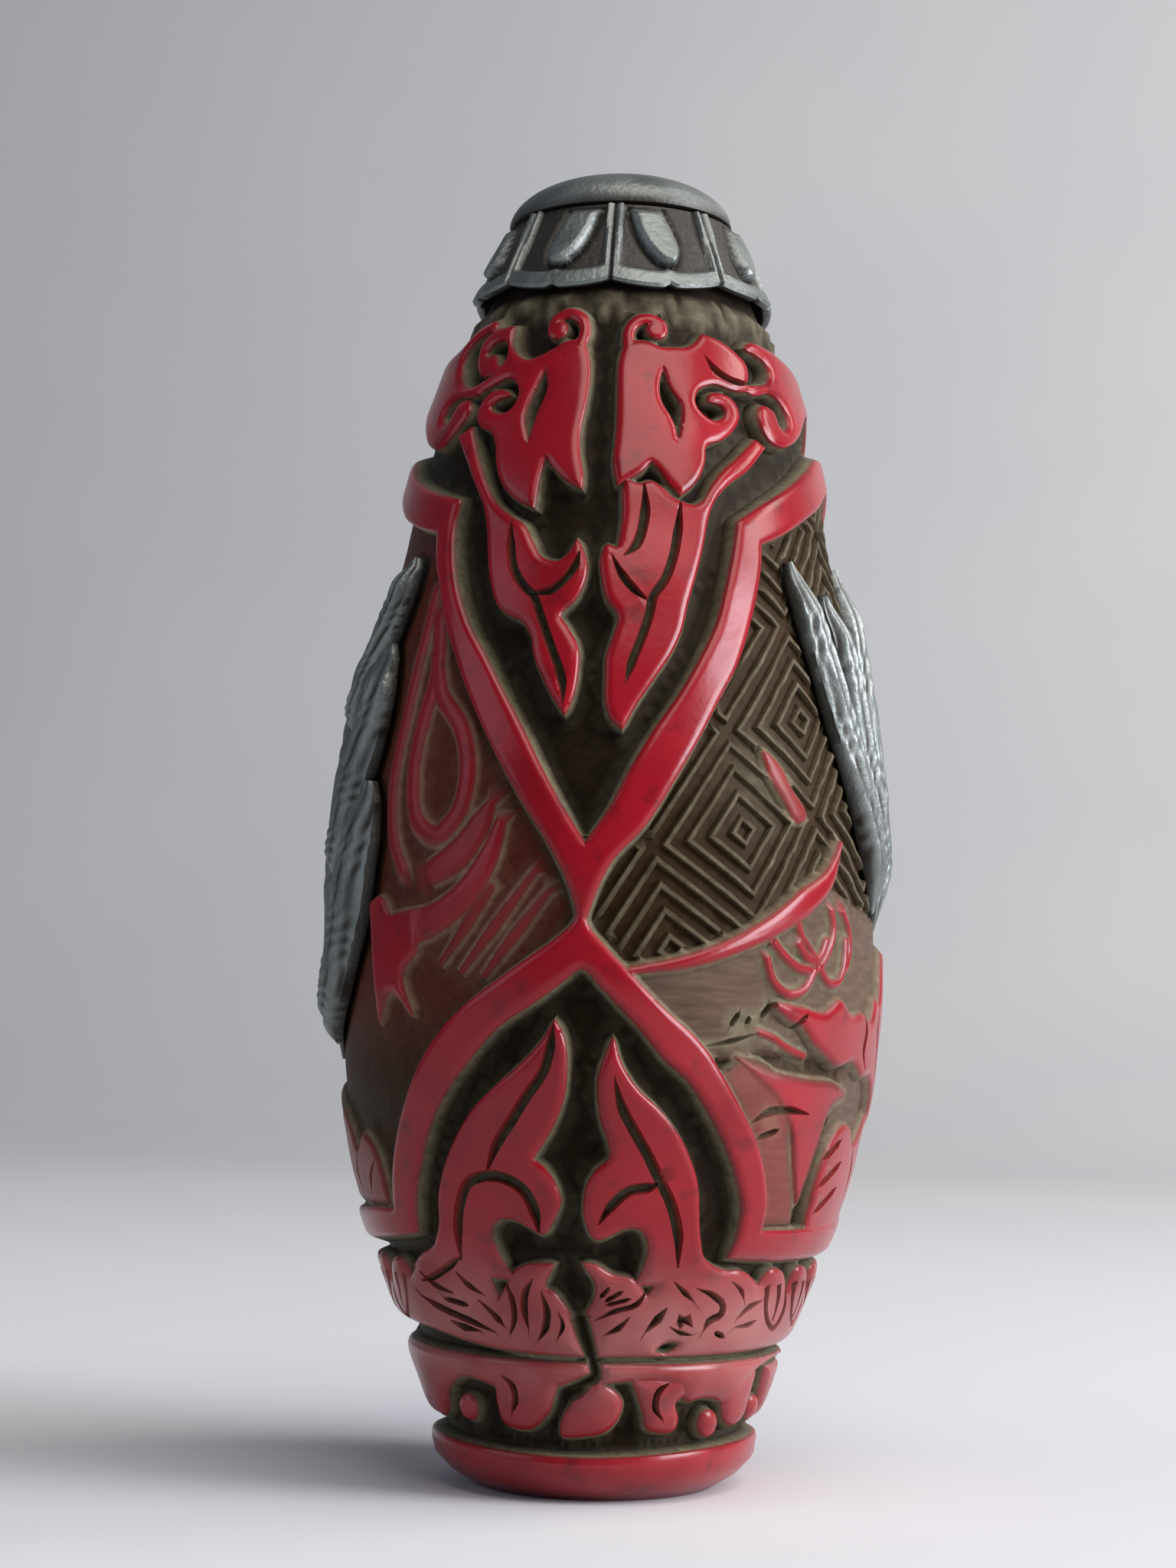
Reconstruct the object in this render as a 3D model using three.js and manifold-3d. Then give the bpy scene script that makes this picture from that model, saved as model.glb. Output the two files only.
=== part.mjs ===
// Carved lacquer snuff bottle with a petalled silver collar, a domed stopper and silver leaf inlays.
// Millimetres, +Z up, standing on z = 0. The narrow sides face -Y and +Y, the broad panels -X and +X.
import * as THREE from 'three'
import { mergeVertices } from 'three/addons/utils/BufferGeometryUtils.js'
import Module from 'manifold-3d'

const wasm = await Module()
wasm.setup()

// Outline of the bottle: height, half thickness (along X), half breadth (along Y).
const OUTLINE = [
  [0.0, 6.8, 8.2], [1.2, 8.5, 10.2], [2.5, 9.05, 10.9], [4.0, 9.35, 11.2], [7.3, 10.6, 12.8],
  [10.3, 11.7, 14.2], [14.5, 13.4, 16.5], [19.2, 14.7, 18.2], [24.0, 15.5, 19.3], [30.0, 15.7, 19.6],
  [36.0, 15.5, 19.4], [41.0, 14.95, 18.7], [46.4, 14.1, 17.6], [51.3, 13.0, 16.2], [56.0, 12.05, 14.6],
  [61.2, 10.6, 12.2], [66.7, 8.6, 9.3], [71.3, 6.6, 6.6],
]
const AROUND = 24                // flat facets round the body
const INSIDE = 16                // flat facets round the hollow, the bore and the stopper's plug
const CARVED = 1.1               // depth of the carved ground below the lacquer surface
const WALL = 3.3                 // lacquer surface to the hollow inside
const FLOOR = 4.2                // underside to the hollow inside
const MOUTH_Z = 70.7             // rim of the lacquer neck
const BORE_RADIUS = 4.0          // round bore of the neck
const SHOULDER_Z = 57.0          // where the hollow begins to close towards the neck
const NECK_Z = 61.0              // where the hollow has become the bore
const FIT = 0.3                  // air between pieces that touch

const COLLAR = { top: 70.8, bottom: 65.3, inside: -0.8, petals: 8, rim: 0.28, scallop: 0.75 }
const STOPPER = { radius: 6.45, rise: 2.95, plugRadius: 3.5, plugLength: 4.6, tilt: 1.0, aside: -0.2 }
const COLLAR_TONGUE = [[-0.95, 70.5], [-0.8, 67.9], [0, 67.3], [0.8, 67.9], [0.95, 70.5]]
const LEAF_TOP = 0.45            // silver leaves stand proud of the lacquer surface
const BAND_WIDTH = 1.9           // raised band that frames a panel
const WEDGE_IN = -2.4            // motif wedges start inside the wall
const WEDGE_OUT = 4.0            // and end clear of the surface

// Value of a smooth curve through rows of [height, ...values], by the mean slope at each row.
function along(rows, z, column) {
  const last = rows.length - 1
  let i = 0
  while (i < last - 1 && z > rows[i + 1][0]) i += 1
  const slope = (k) => {
    const low = rows[Math.max(k - 1, 0)]
    const high = rows[Math.min(k + 1, last)]
    return (high[column] - low[column]) / (high[0] - low[0])
  }
  const span = rows[i + 1][0] - rows[i][0]
  const f = Math.min(Math.max((z - rows[i][0]) / span, 0), 1)
  const blend = f * f * (3 - 2 * f)
  const start = rows[i][column] + slope(i) * f * span
  const end = rows[i + 1][column] - slope(i + 1) * (1 - f) * span
  return start * (1 - blend) + end * blend
}

const halfThickness = (z) => along(OUTLINE, z, 1)
const halfBreadth = (z) => along(OUTLINE, z, 2)

// Point on the bottle: angle from the front narrow side, height, lift off the lacquer surface.
function onBody(angle, z, lift) {
  const x = (halfThickness(z) + lift) * Math.sin(angle)
  const y = -(halfBreadth(z) + lift) * Math.cos(angle)
  return [x, y, z]
}

// Closed solid of a geometry, with its vertices moved by a function of their place.
function solidOf(geometry, moved) {
  geometry.deleteAttribute('normal')
  geometry.deleteAttribute('uv')
  const merged = mergeVertices(geometry)
  const place = merged.getAttribute('position')
  for (let i = 0; i < place.count; i += 1) {
    place.setXYZ(i, ...moved(place.getX(i), place.getY(i), place.getZ(i)))
  }
  const mesh = new wasm.Mesh({
    numProp: 3,
    vertProperties: Float32Array.from(place.array),
    triVerts: Uint32Array.from(merged.index.array),
  })
  return new wasm.Manifold(mesh)
}

// Oval solid that follows the bottle at the given [height, lift] levels, lowest first.
function ovalSolid(levels, facets) {
  const steps = levels.length - 1
  const drum = new THREE.CylinderGeometry(1, 1, steps, facets, steps)
  return solidOf(drum, (x, y, z) => {
    const [height, lift] = levels[Math.round(y + steps / 2)]
    const share = Math.hypot(x, z)
    const [px, py] = onBody(Math.atan2(x, z), height, lift)
    return [px * share, py * share, height]
  })
}

// Round solid about the Z axis from [height, radius] levels, lowest first.
function roundSolid(levels, facets) {
  const steps = levels.length - 1
  const drum = new THREE.CylinderGeometry(1, 1, steps, facets, steps)
  return solidOf(drum, (x, y, z) => {
    const [height, radius] = levels[Math.round(y + steps / 2)]
    return [x * radius, -z * radius, height]
  })
}

// Wedge that reaches from inside the wall to clear air, over an outline of [angle, height] points.
function wedge(outline) {
  const shape = new THREE.Shape(outline.map(([angle, z]) => new THREE.Vector2(angle, z)))
  const block = new THREE.ExtrudeGeometry(shape, { depth: 1, bevelEnabled: false })
  return solidOf(block, (angle, z, depth) => onBody(angle, z, depth > 0.5 ? WEDGE_OUT : WEDGE_IN))
}

// Motifs are drawn as [distance round the surface from the centre line, height] in millimetres.
function place(outline, centre, side) {
  return outline.map(([across, z]) => [centre + side * across / halfThickness(z), z])
}

// Outline of a band of a given width that follows a smooth line of [across, height] points.
function band(line, width, steps) {
  const curve = new THREE.SplineCurve(line.map(([x, z]) => new THREE.Vector2(x, z)))
  const left = []
  const right = []
  for (let i = 0; i <= steps; i += 1) {
    const p = curve.getPoint(i / steps)
    const d = curve.getTangent(i / steps)
    left.push([p.x - d.y * width / 2, p.y + d.x * width / 2])
    right.unshift([p.x + d.y * width / 2, p.y - d.x * width / 2])
  }
  return [...left, ...right]
}

// Long leaf: a band that is narrower at the foot, widest at two thirds and blunt at the tip.
function leaf(foot, bend, tip, width) {
  const curve = new THREE.QuadraticBezierCurve(
    new THREE.Vector2(...foot), new THREE.Vector2(...bend), new THREE.Vector2(...tip),
  )
  const left = []
  const right = []
  for (const [f, share] of [[0, 0.6], [0.65, 1.0], [1, 0.4]]) {
    const p = curve.getPoint(f)
    const d = curve.getTangent(f)
    left.push([p.x - d.y * width * share / 2, p.y + d.x * width * share / 2])
    right.unshift([p.x + d.y * width * share / 2, p.y - d.x * width * share / 2])
  }
  return [...left, ...right]
}

// Right-hand halves of the narrow-side carving; the left-hand halves mirror them.
const UPPER_ARM = [[0, 30.3], [1.5, 34.4], [4.5, 39.9], [6.8, 44], [8.35, 48], [8.9, 52.4]]
const LOWER_ARM = [[0, 30.7], [2.4, 27.3], [5.9, 24], [8.6, 20.6], [10.1, 16.8], [10.2, 13.9]]
const CLOUD_LOBE = [
  [1.0, 53.3], [2.85, 54.9], [4.1, 52.6], [5.9, 55.0], [7.6, 57.2], [7.5, 58.9], [6.6, 59.5],
  [8.4, 60.9], [7.4, 62.5], [5.7, 63.0], [5.0, 61.6], [3.7, 61.6], [3.3, 62.9], [2.0, 63.6],
  [1.1, 62.6], [0.8, 59],
]
const LOBE_SLIT = [[3.25, 60.4], [3.1, 58.9], [4.15, 56.0], [4.4, 57.6], [3.7, 59.1]]
const HANGING_LEAF = [
  [1.5, 40.9], [3.1, 42.9], [4.6, 45.3], [6.2, 52], [9.3, 56.5], [8.5, 56.9],
  [5.2, 52.2], [3.9, 51.8], [2.6, 49.4], [1.8, 49.1], [0.85, 50.1], [0.4, 48.7], [1.5, 46.2], [0.8, 44],
]
const RISING_LEAF = [
  [7.6, 12.4], [6.9, 14.0], [6.8, 16.8], [5.6, 19.8], [2.8, 22.9], [1.4, 24.8], [0.9, 21.4],
  [2.0, 18.4], [0.7, 16.4], [1.4, 14.4], [2.6, 15.0], [3.7, 15.0], [4.2, 14.0], [3.7, 12.4],
]
const SCROLL_DROP = [[-1.4, 6.55], [-0.8, 4.0], [0.8, 4.0], [1.4, 6.55]]
const SCROLL_DROPS = 12

// The [angle, height] of a point given in degrees round from the front centre line.
const turned = (points) => points.map(([degrees, z]) => [THREE.MathUtils.degToRad(degrees), z])

const raised = []
const cut = []
for (const centre of [0, Math.PI]) {
  for (const side of [1, -1]) {
    const add = (outline) => raised.push(wedge(place(outline, centre, side)))
    add(band(UPPER_ARM, BAND_WIDTH, 4))
    add(band(LOWER_ARM, BAND_WIDTH, 4))
    add(CLOUD_LOBE)
    add(HANGING_LEAF)
    add(RISING_LEAF)
    cut.push(wedge(place(LOBE_SLIT, centre, side)))
  }
}

// Head and sill of each panel frame, an arch over the broad side, and the lobes above it.
const HEAD = [[38.5, 51.4], [58, 54.4], [90, 57.2], [122, 54.4], [141.5, 51.4]]
const SILL = [[41.5, 14.0], [90, 13.6], [138.5, 14.0]]
function panelStrip(points, width, turn) {
  const low = points.map(([degrees, z]) => [degrees + turn, z - width / 2])
  const high = points.map(([degrees, z]) => [degrees + turn, z + width / 2]).reverse()
  return turned([...low, ...high])
}
for (const turn of [0, 180]) {
  raised.push(wedge(panelStrip(HEAD, BAND_WIDTH * 1.05, turn)))
  raised.push(wedge(panelStrip(SILL, BAND_WIDTH * 0.8, turn)))
  for (const side of [1, -1]) {
    const centre = THREE.MathUtils.degToRad(90 + turn)
    raised.push(wedge(place([
      [-0.1, 60.4], [2.4, 60.0], [5.8, 57.0], [7.4, 57.6], [6.4, 60.6], [7.0, 62.8], [-0.1, 62.5],
    ], centre, side)))
  }
}
for (let i = 0; i < SCROLL_DROPS; i += 1) {
  raised.push(wedge(place(SCROLL_DROP, (i / SCROLL_DROPS) * 2 * Math.PI, 1)))
}

// Right panel: a terrace line and a bank of rocks. Left panel: a root with a looped branch.
const TERRACE = [[2.9, 27.9], [6, 28.5], [8.5, 29.4], [11, 30.6], [13.5, 32.0], [16, 33.5]]
const ROCKS = [
  [40, 15.2], [90, 15.2], [140, 15.2], [136, 21], [124, 25.6], [108, 24.4], [90, 26.6], [72, 24.4],
  [56, 25.6], [44, 21],
]
const ROOT = [
  [4.6, 35.8], [6, 33], [8.5, 30.7], [11.5, 30.5], [12.3, 32], [13.7, 31.2], [12.4, 25.2], [11.5, 26.8],
  [9.6, 25.6], [9, 28.4], [5.6, 31.6], [4, 35.2],
]
const LOOP = { across: 8.6, z: 38.3, halfWide: 2.3, halfTall: 4.1, thick: 0.9 }
function loopOutline(inset) {
  const curve = new THREE.EllipseCurve(LOOP.across, LOOP.z, LOOP.halfWide - inset, LOOP.halfTall - inset)
  return curve.getPoints(8).slice(0, -1).map((p) => [p.x, p.y])
}
for (const [centre, right] of [[0, 1], [Math.PI, -1]]) {
  raised.push(wedge(place(band(TERRACE, 0.9, 4), centre, right)))
  raised.push(wedge(place(ROOT, centre, -right)))
  raised.push(wedge(place(loopOutline(0), centre, -right)))
  cut.push(wedge(place(loopOutline(LOOP.thick), centre, -right)))
}
raised.push(wedge(turned(ROCKS)))

// Silver leaves fan out over each broad panel: foot, bend, tip as [degrees, height], width.
const RIGHT_LEAVES = [
  [[84, 32], [65, 40], [52, 50.3], 2.6], [[87, 32], [78, 40], [66, 49.0], 2.6],
  [[90, 31], [90, 40], [90, 51.5], 3.0], [[93, 32], [102, 40], [114, 49.0], 2.6],
  [[96, 32], [115, 40], [128, 50.3], 2.6],
]
const LEFT_LEAVES = [
  [[-82, 24.5], [-58, 28], [-55, 38], 5.2], [[-80, 33], [-58, 37], [-56, 45.6], 4.6],
  [[-80, 41], [-56, 44.5], [-51.5, 50.3], 2.4], [[-90, 23], [-90, 36], [-90, 48.5], 7.0],
  [[-100, 41], [-124, 44.5], [-128.5, 50.3], 2.4], [[-100, 33], [-122, 37], [-124, 45.6], 4.6],
  [[-98, 24.5], [-122, 28], [-125, 38], 5.2],
]

// Leaf feet and tips lie on the oval, so their outlines are drawn at the size of the panel.
const PANEL_MM_PER_DEGREE = 0.31
function leafOutline([foot, bend, tip, width], spare) {
  const flat = ([degrees, z]) => [degrees * PANEL_MM_PER_DEGREE, z]
  const outline = leaf(flat(foot), flat(bend), flat(tip), width + 2 * spare)
  return turned(outline.map(([x, z]) => [x / PANEL_MM_PER_DEGREE, z]))
}

const LEVELS = [8.8, 12.6, 19, 26, 34, 42, 50, 57, 62, 67.5]
const atLift = (lift) => LEVELS.map((z) => [z, lift])
const leafLevels = LEVELS.slice(2, 8)
const leafShell = ovalSolid(leafLevels.map((z) => [z, LEAF_TOP]), AROUND)
  .subtract(ovalSolid(leafLevels.map((z) => [z, FIT - CARVED]), AROUND))
function leafSpray(leaves) {
  const wedges = leaves.map((one) => wedge(leafOutline(one, 0)))
  return leafShell.intersect(wasm.Manifold.union(wedges))
}
const leafPockets = [...RIGHT_LEAVES, ...LEFT_LEAVES].map((one) => wedge(leafOutline(one, FIT)))

// Lacquer body: carved ground with the foot rim and the ring bands left proud, then the motifs.
const ground = ovalSolid([
  [0, 0], [1.2, 0], [2.5, 0], [2.75, -0.9], [6.5, -0.9], [6.6, 0], [7.6, 0], [7.75, -0.9], [8.3, -0.9],
  [8.45, 0], [12.2, 0], [12.5, -CARVED], ...atLift(-CARVED).slice(2), [MOUTH_Z, -CARVED],
], AROUND)
const surface = ovalSolid([[3.2, 0], ...atLift(0).slice(0, -1)], AROUND)
const motifs = surface.intersect(wasm.Manifold.union(raised))
  .subtract(wasm.Manifold.union([...cut, ...leafPockets]))

const hollow = ovalSolid([
  [FLOOR, -WALL - 1.5], [FLOOR + 1.5, -WALL], [12, -WALL], [20, -WALL], [30, -WALL], [40, -WALL],
  [50, -WALL], [SHOULDER_Z, -WALL - 0.6], [NECK_Z + 1, -WALL - 4],
], INSIDE)
const bore = roundSolid([[SHOULDER_Z - 2, BORE_RADIUS], [MOUTH_Z + 2, BORE_RADIUS]], INSIDE)
const body = ground.add(motifs).subtract(hollow.add(bore))

// Silver collar: a thin skirt with a scalloped edge, raised petal rims and a tongue on each petal.
const petalAngle = (2 * Math.PI) / COLLAR.petals
function petal(i, spread, low, high) {
  const middle = (i + 0.5) * petalAngle
  const half = (petalAngle / 2) * spread
  return wedge([
    [middle - half, high], [middle - half, low + COLLAR.scallop], [middle - half / 2, low],
    [middle + half / 2, low], [middle + half, low + COLLAR.scallop], [middle + half, high],
  ])
}
const cone = (lift, spare) => ovalSolid(
  [[COLLAR.bottom - spare, lift], [COLLAR.top + spare, lift]], COLLAR.petals * 3,
)
const numbered = Array.from({ length: COLLAR.petals }, (_, i) => i)
const scallops = wasm.Manifold.union(numbered.map((i) => petal(i, 1.04, COLLAR.bottom, COLLAR.top + 2)))
const recesses = numbered.map((i) => petal(i, 0.8, COLLAR.bottom + 0.8, COLLAR.top - 0.2))
const tongues = numbered.map((i) => wedge(place(COLLAR_TONGUE, (i + 0.5) * petalAngle, 1)))
const hollows = cone(2, 1).subtract(cone(-COLLAR.rim, 2))
  .intersect(wasm.Manifold.union(recesses).subtract(wasm.Manifold.union(tongues)))
const collar = cone(0, 0).subtract(cone(COLLAR.inside, 1)).intersect(scallops).subtract(hollows)

// Silver stopper: a low dome on a short plug, sitting a little crooked in the mouth as shown.
const domeLevels = [0.0, 0.3, 0.65, 0.88, 0.97].map((f) => (
  [f * STOPPER.rise, STOPPER.radius * Math.sqrt(1 - Math.pow(f, 2.1))]
))
const stopper = roundSolid([[-STOPPER.plugLength, STOPPER.plugRadius], [0.2, STOPPER.plugRadius]], INSIDE)
  .add(roundSolid(domeLevels, AROUND))

// Hand over as named meshes.
const RED_LACQUER = { color: 0x8a1420, roughness: 0.3, metalness: 0 }
const SILVER = { color: 0x9a9c9e, roughness: 0.35, metalness: 1 }
function meshOf(solid, name, look) {
  const { vertProperties, triVerts, numProp } = solid.getMesh()
  const positions = []
  for (let i = 0; i < vertProperties.length; i += numProp) {
    positions.push(vertProperties[i], vertProperties[i + 1], vertProperties[i + 2])
  }
  const geometry = new THREE.BufferGeometry()
  geometry.setAttribute('position', new THREE.Float32BufferAttribute(positions, 3))
  geometry.setIndex(Array.from(triVerts))
  geometry.computeVertexNormals()
  const mesh = new THREE.Mesh(geometry, new THREE.MeshStandardMaterial(look))
  mesh.name = name
  return mesh
}

const group = new THREE.Group()
group.name = 'snuff_bottle'
group.add(meshOf(body, 'lacquer_body', RED_LACQUER))
group.add(meshOf(collar, 'silver_collar', SILVER))
const lean = THREE.MathUtils.degToRad(STOPPER.tilt)
const stopperMesh = meshOf(stopper, 'silver_stopper', SILVER)
stopperMesh.rotation.y = -lean
stopperMesh.position.set(STOPPER.aside, 0, COLLAR.top + FIT + STOPPER.radius * Math.sin(lean))
group.add(stopperMesh)
group.add(meshOf(leafSpray(RIGHT_LEAVES), 'right_silver_leaves', SILVER))
group.add(meshOf(leafSpray(LEFT_LEAVES), 'left_silver_leaves', SILVER))

export default group
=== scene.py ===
import math

import bpy
import numpy as np
from mathutils import Matrix, Vector
from mathutils.geometry import delaunay_2d_cdt


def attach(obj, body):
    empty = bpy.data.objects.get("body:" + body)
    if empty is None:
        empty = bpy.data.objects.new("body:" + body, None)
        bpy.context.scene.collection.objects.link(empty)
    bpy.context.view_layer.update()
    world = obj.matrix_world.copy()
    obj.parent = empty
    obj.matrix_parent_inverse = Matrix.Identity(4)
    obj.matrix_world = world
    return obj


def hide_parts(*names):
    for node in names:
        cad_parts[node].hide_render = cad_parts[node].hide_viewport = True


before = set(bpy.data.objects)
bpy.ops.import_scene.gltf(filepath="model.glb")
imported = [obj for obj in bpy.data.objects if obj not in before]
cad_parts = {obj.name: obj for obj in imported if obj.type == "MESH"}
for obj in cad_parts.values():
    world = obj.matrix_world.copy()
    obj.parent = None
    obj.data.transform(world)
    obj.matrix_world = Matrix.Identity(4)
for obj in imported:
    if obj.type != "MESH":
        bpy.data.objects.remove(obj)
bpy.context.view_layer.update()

MM = 0.001
QUARTER = math.pi / 2

# Outline of the bottle: height, half thickness (along X), half breadth (along Y).
OUTLINE = np.array([
    (0.0, 6.8, 8.2), (1.2, 8.5, 10.2), (2.5, 9.05, 10.9), (4.0, 9.35, 11.2), (7.3, 10.6, 12.8),
    (10.3, 11.7, 14.2), (14.5, 13.4, 16.5), (19.2, 14.7, 18.2), (24.0, 15.5, 19.3),
    (30.0, 15.7, 19.6), (36.0, 15.5, 19.4), (41.0, 14.95, 18.7), (46.4, 14.1, 17.6),
    (51.3, 13.0, 16.2), (56.0, 12.05, 14.6), (61.2, 10.6, 12.2), (66.7, 8.6, 9.3), (71.3, 6.6, 6.6),
])
MOUTH_Z = 70.7
BORE_RADIUS = 4.0
BORE_END = 62.5
# Inside of the bottle from the mouth down: height and how far the wall lies inside the outline.
INSIDE = [(62.0, -5.6), (57.0, -3.9), (50.0, -3.3), (40.0, -3.3), (30.0, -3.3), (20.0, -3.3),
          (12.0, -3.3), (5.7, -3.3), (4.2, -4.8)]

# Carving levels, as lift from the outline, and the shape of a carved edge.
GROUND = -1.1
PANEL_GROUND = -0.95
WALL_LEAN = 0.34
EDGE_ROUND = 0.32
EDGE_DROP = 0.12
# Distance that stands for nowhere near, and a reach that spans a whole panel.
FAR = 9.0
PANEL_REACH = 40
# The bands by the foot are rounder: how far in from an edge and how deep they fall away, and the heights
# over which this comes in and goes out.
BAND_ROUND = 1.1
BAND_DROP = 0.24
BAND_IN = (3.0, 4.0)
BAND_OUT = (11.5, 14.5)
# The ground of the left panel is tinged red, and the tinge comes in over these heights.
LEFT_PANEL_RED = 0.2
LEFT_RED_IN = (21, 27)
# Pale dust along the red edges: how far out from the edge it lies and how far it spreads.
DUST_OUT = 0.16
DUST_SPREAD = 0.13

# Rough ring that is left standing under the collar: height of its middle, half height, rise.
ROUGH_Z = 64.5
ROUGH_HALF = 0.75
ROUGH_RISE = 0.6


def along(z, column):
    """Half thickness (column 1) or half breadth (column 2) of the outline at each height."""
    heights, values = OUTLINE[:, 0], OUTLINE[:, column]
    slopes = np.gradient(values)
    slopes[1:-1] = (values[2:] - values[:-2]) / (heights[2:] - heights[:-2])
    slopes[0] = (values[1] - values[0]) / (heights[1] - heights[0])
    slopes[-1] = (values[-1] - values[-2]) / (heights[-1] - heights[-2])
    i = np.clip(np.searchsorted(heights, z) - 1, 0, len(heights) - 2)
    run = heights[i + 1] - heights[i]
    f = np.clip((z - heights[i]) / run, 0, 1)
    blend = f * f * (3 - 2 * f)
    from_below = values[i] + slopes[i] * f * run
    from_above = values[i + 1] - slopes[i + 1] * (1 - f) * run
    return from_below * (1 - blend) + from_above * blend


def on_body(angle, z, lift):
    """Points at an angle round the bottle from the front, a height and a lift from the outline."""
    x = (along(z, 1) + lift) * np.sin(angle)
    y = -(along(z, 2) + lift) * np.cos(angle)
    return np.stack([x, y, np.broadcast_to(z, x.shape)], axis=-1)


def ease(value, low, high):
    """A smooth step from 0 at the low value to 1 at the high one."""
    f = np.clip((value - low) / (high - low), 0, 1)
    return f * f * (3 - 2 * f)


# The motifs are drawn on a chart of the front half: millimetres round the bottle from the front
# centre line, and height. A point with a third value is a sharp corner.
UPPER_OUT_LEFT = [
    (-1.6, 34.3), (-2.8, 36), (-4.1, 38), (-5.3, 40), (-6.4, 42), (-7.4, 44), (-8.3, 46), (-9.0, 48),
    (-9.6, 50), (-9.8, 51.4, 1), (-12, 52.1), (-14, 53), (-16, 54.3), (-19.4, 56.2, 1)]
UPPER_IN_LEFT = [
    (-0.9, 36), (-2.1, 38), (-3.2, 40), (-4.4, 42), (-5.6, 44), (-6.9, 46), (-7.8, 48), (-8.3, 50),
    (-8.4, 52), (-8.15, 53, 1), (-10, 53.6), (-12, 54.4), (-14, 55.4), (-17, 57.2), (-19.2, 58, 1)]
UPPER_OUT_RIGHT = [
    (1.7, 33.4), (3.2, 35.1), (5.0, 38), (6.1, 40), (7.1, 42), (8.15, 44), (8.8, 46), (9.3, 48),
    (9.6, 50), (9.6, 50.9, 1), (11, 51.6), (13, 52.8), (15, 54), (17, 55.3), (19.4, 56.2, 1)]
UPPER_IN_RIGHT = [
    (1.5, 36), (2.5, 38), (3.6, 40), (4.9, 42), (6.0, 44), (6.9, 46), (7.4, 48), (7.8, 50),
    (8.05, 51.9, 1), (10, 53.3), (12, 54.6), (14, 56), (16, 57.2), (19.2, 58, 1)]
LOWER_OUT_LEFT = [
    (-1, 29.4), (-2.4, 28.4), (-4, 27.3), (-6, 25.9), (-8, 24), (-9, 22.6), (-10, 20.7),
    (-10.8, 18.8), (-11.3, 16.5), (-11.4, 15.2, 1), (-14, 15.1), (-17, 14.9), (-22, 14.8, 1)]
LOWER_IN_LEFT = [
    (-0.4, 27.5), (-2, 26.3), (-4, 25), (-6, 22.9), (-7, 21.7), (-8, 20.2), (-9, 17.7), (-9.5, 16),
    (-9.6, 14.15, 1), (-11, 13.9), (-14, 13.6), (-17, 13.3), (-22, 13.1, 1)]
LOWER_OUT_RIGHT = [
    (1.5, 29), (2.7, 27.8), (3.9, 26.6), (5, 25.6), (6, 24.8), (7, 23.8), (8, 22.4), (9, 20.9),
    (10, 19.2), (10.6, 17.5), (10.8, 16), (10.6, 14.65, 1), (14, 14.6), (17, 14.7), (22, 14.8, 1)]
LOWER_IN_RIGHT = [
    (1.4, 27), (2.4, 26), (3.4, 25), (4.6, 23.6), (6, 22.4), (7, 21), (8, 19.4), (8.8, 17.6),
    (9.2, 16), (9, 14.4), (8.5, 13.3, 1), (11, 13.1), (14, 13), (17, 13), (22, 13.1, 1)]
UPPER_FRAME = (UPPER_OUT_LEFT[::-1] + [(0.0, 30.8), (0.2, 29.6, 1), (0.4, 30.3)] + UPPER_OUT_RIGHT
               + UPPER_IN_RIGHT[::-1] + [(0.3, 34.2, 1)] + UPPER_IN_LEFT)
LOWER_FRAME = (LOWER_OUT_LEFT[::-1] + [(-0.1, 30.3), (0.2, 31.2, 1), (0.5, 30.2)] + LOWER_OUT_RIGHT
               + LOWER_IN_RIGHT[::-1] + [(0.2, 27.95)] + LOWER_IN_LEFT)
RIGHT_PANEL = (UPPER_OUT_RIGHT[::-1] + [(0.4, 30.3, 1)] + LOWER_OUT_RIGHT
               + [(29, 14.8, 1), (29, 56.2, 1)])
LEFT_PANEL = (UPPER_OUT_LEFT[::-1] + [(0.0, 30.6, 1)] + LOWER_OUT_LEFT
              + [(-29, 14.8, 1), (-29, 56.2, 1)])

# Cloud scrolls on the shoulder, the leaves that hang below them and the leaves that rise from the foot.
LEFT_LOBE = [
    (-1.25, 61.9), (-0.85, 60.9), (-0.72, 59.8), (-0.8, 58.2), (-1.05, 56), (-0.95, 55),
    (-0.72, 53.9), (-0.72, 53.15, 1), (-1.5, 53.6), (-2.3, 54.4), (-2.8, 55.1, 1), (-3.1, 54),
    (-3.3, 52.15, 1), (-4.2, 52.6), (-5.2, 53.5), (-5.75, 54.8), (-5.95, 56), (-6.4, 56.9),
    (-7.2, 57.3), (-7.5, 58), (-7.2, 58.8), (-6.5, 59.3), (-5.7, 59.2), (-5.35, 58.9, 1), (-6, 58.75),
    (-6.6, 58.35), (-6.4, 57.95), (-5.9, 57.8), (-5.2, 58), (-4.75, 58.7), (-4.9, 59.6),
    (-5.5, 60.05), (-6.3, 59.85), (-7, 59.6), (-8, 59.4), (-9.3, 59.6, 1), (-9.3, 60, 1),
    (-8.2, 59.85), (-7.3, 60.1), (-6.6, 60.4), (-7.6, 60.5), (-8, 61), (-8.15, 61.9), (-7.9, 62.7),
    (-7.2, 63.2), (-6.3, 63.35), (-5.6, 63.3, 1), (-5.65, 62.3), (-5.2, 61.4), (-4.5, 61), (-3.6, 61.2),
    (-2.8, 61.6), (-2, 62)]
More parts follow.
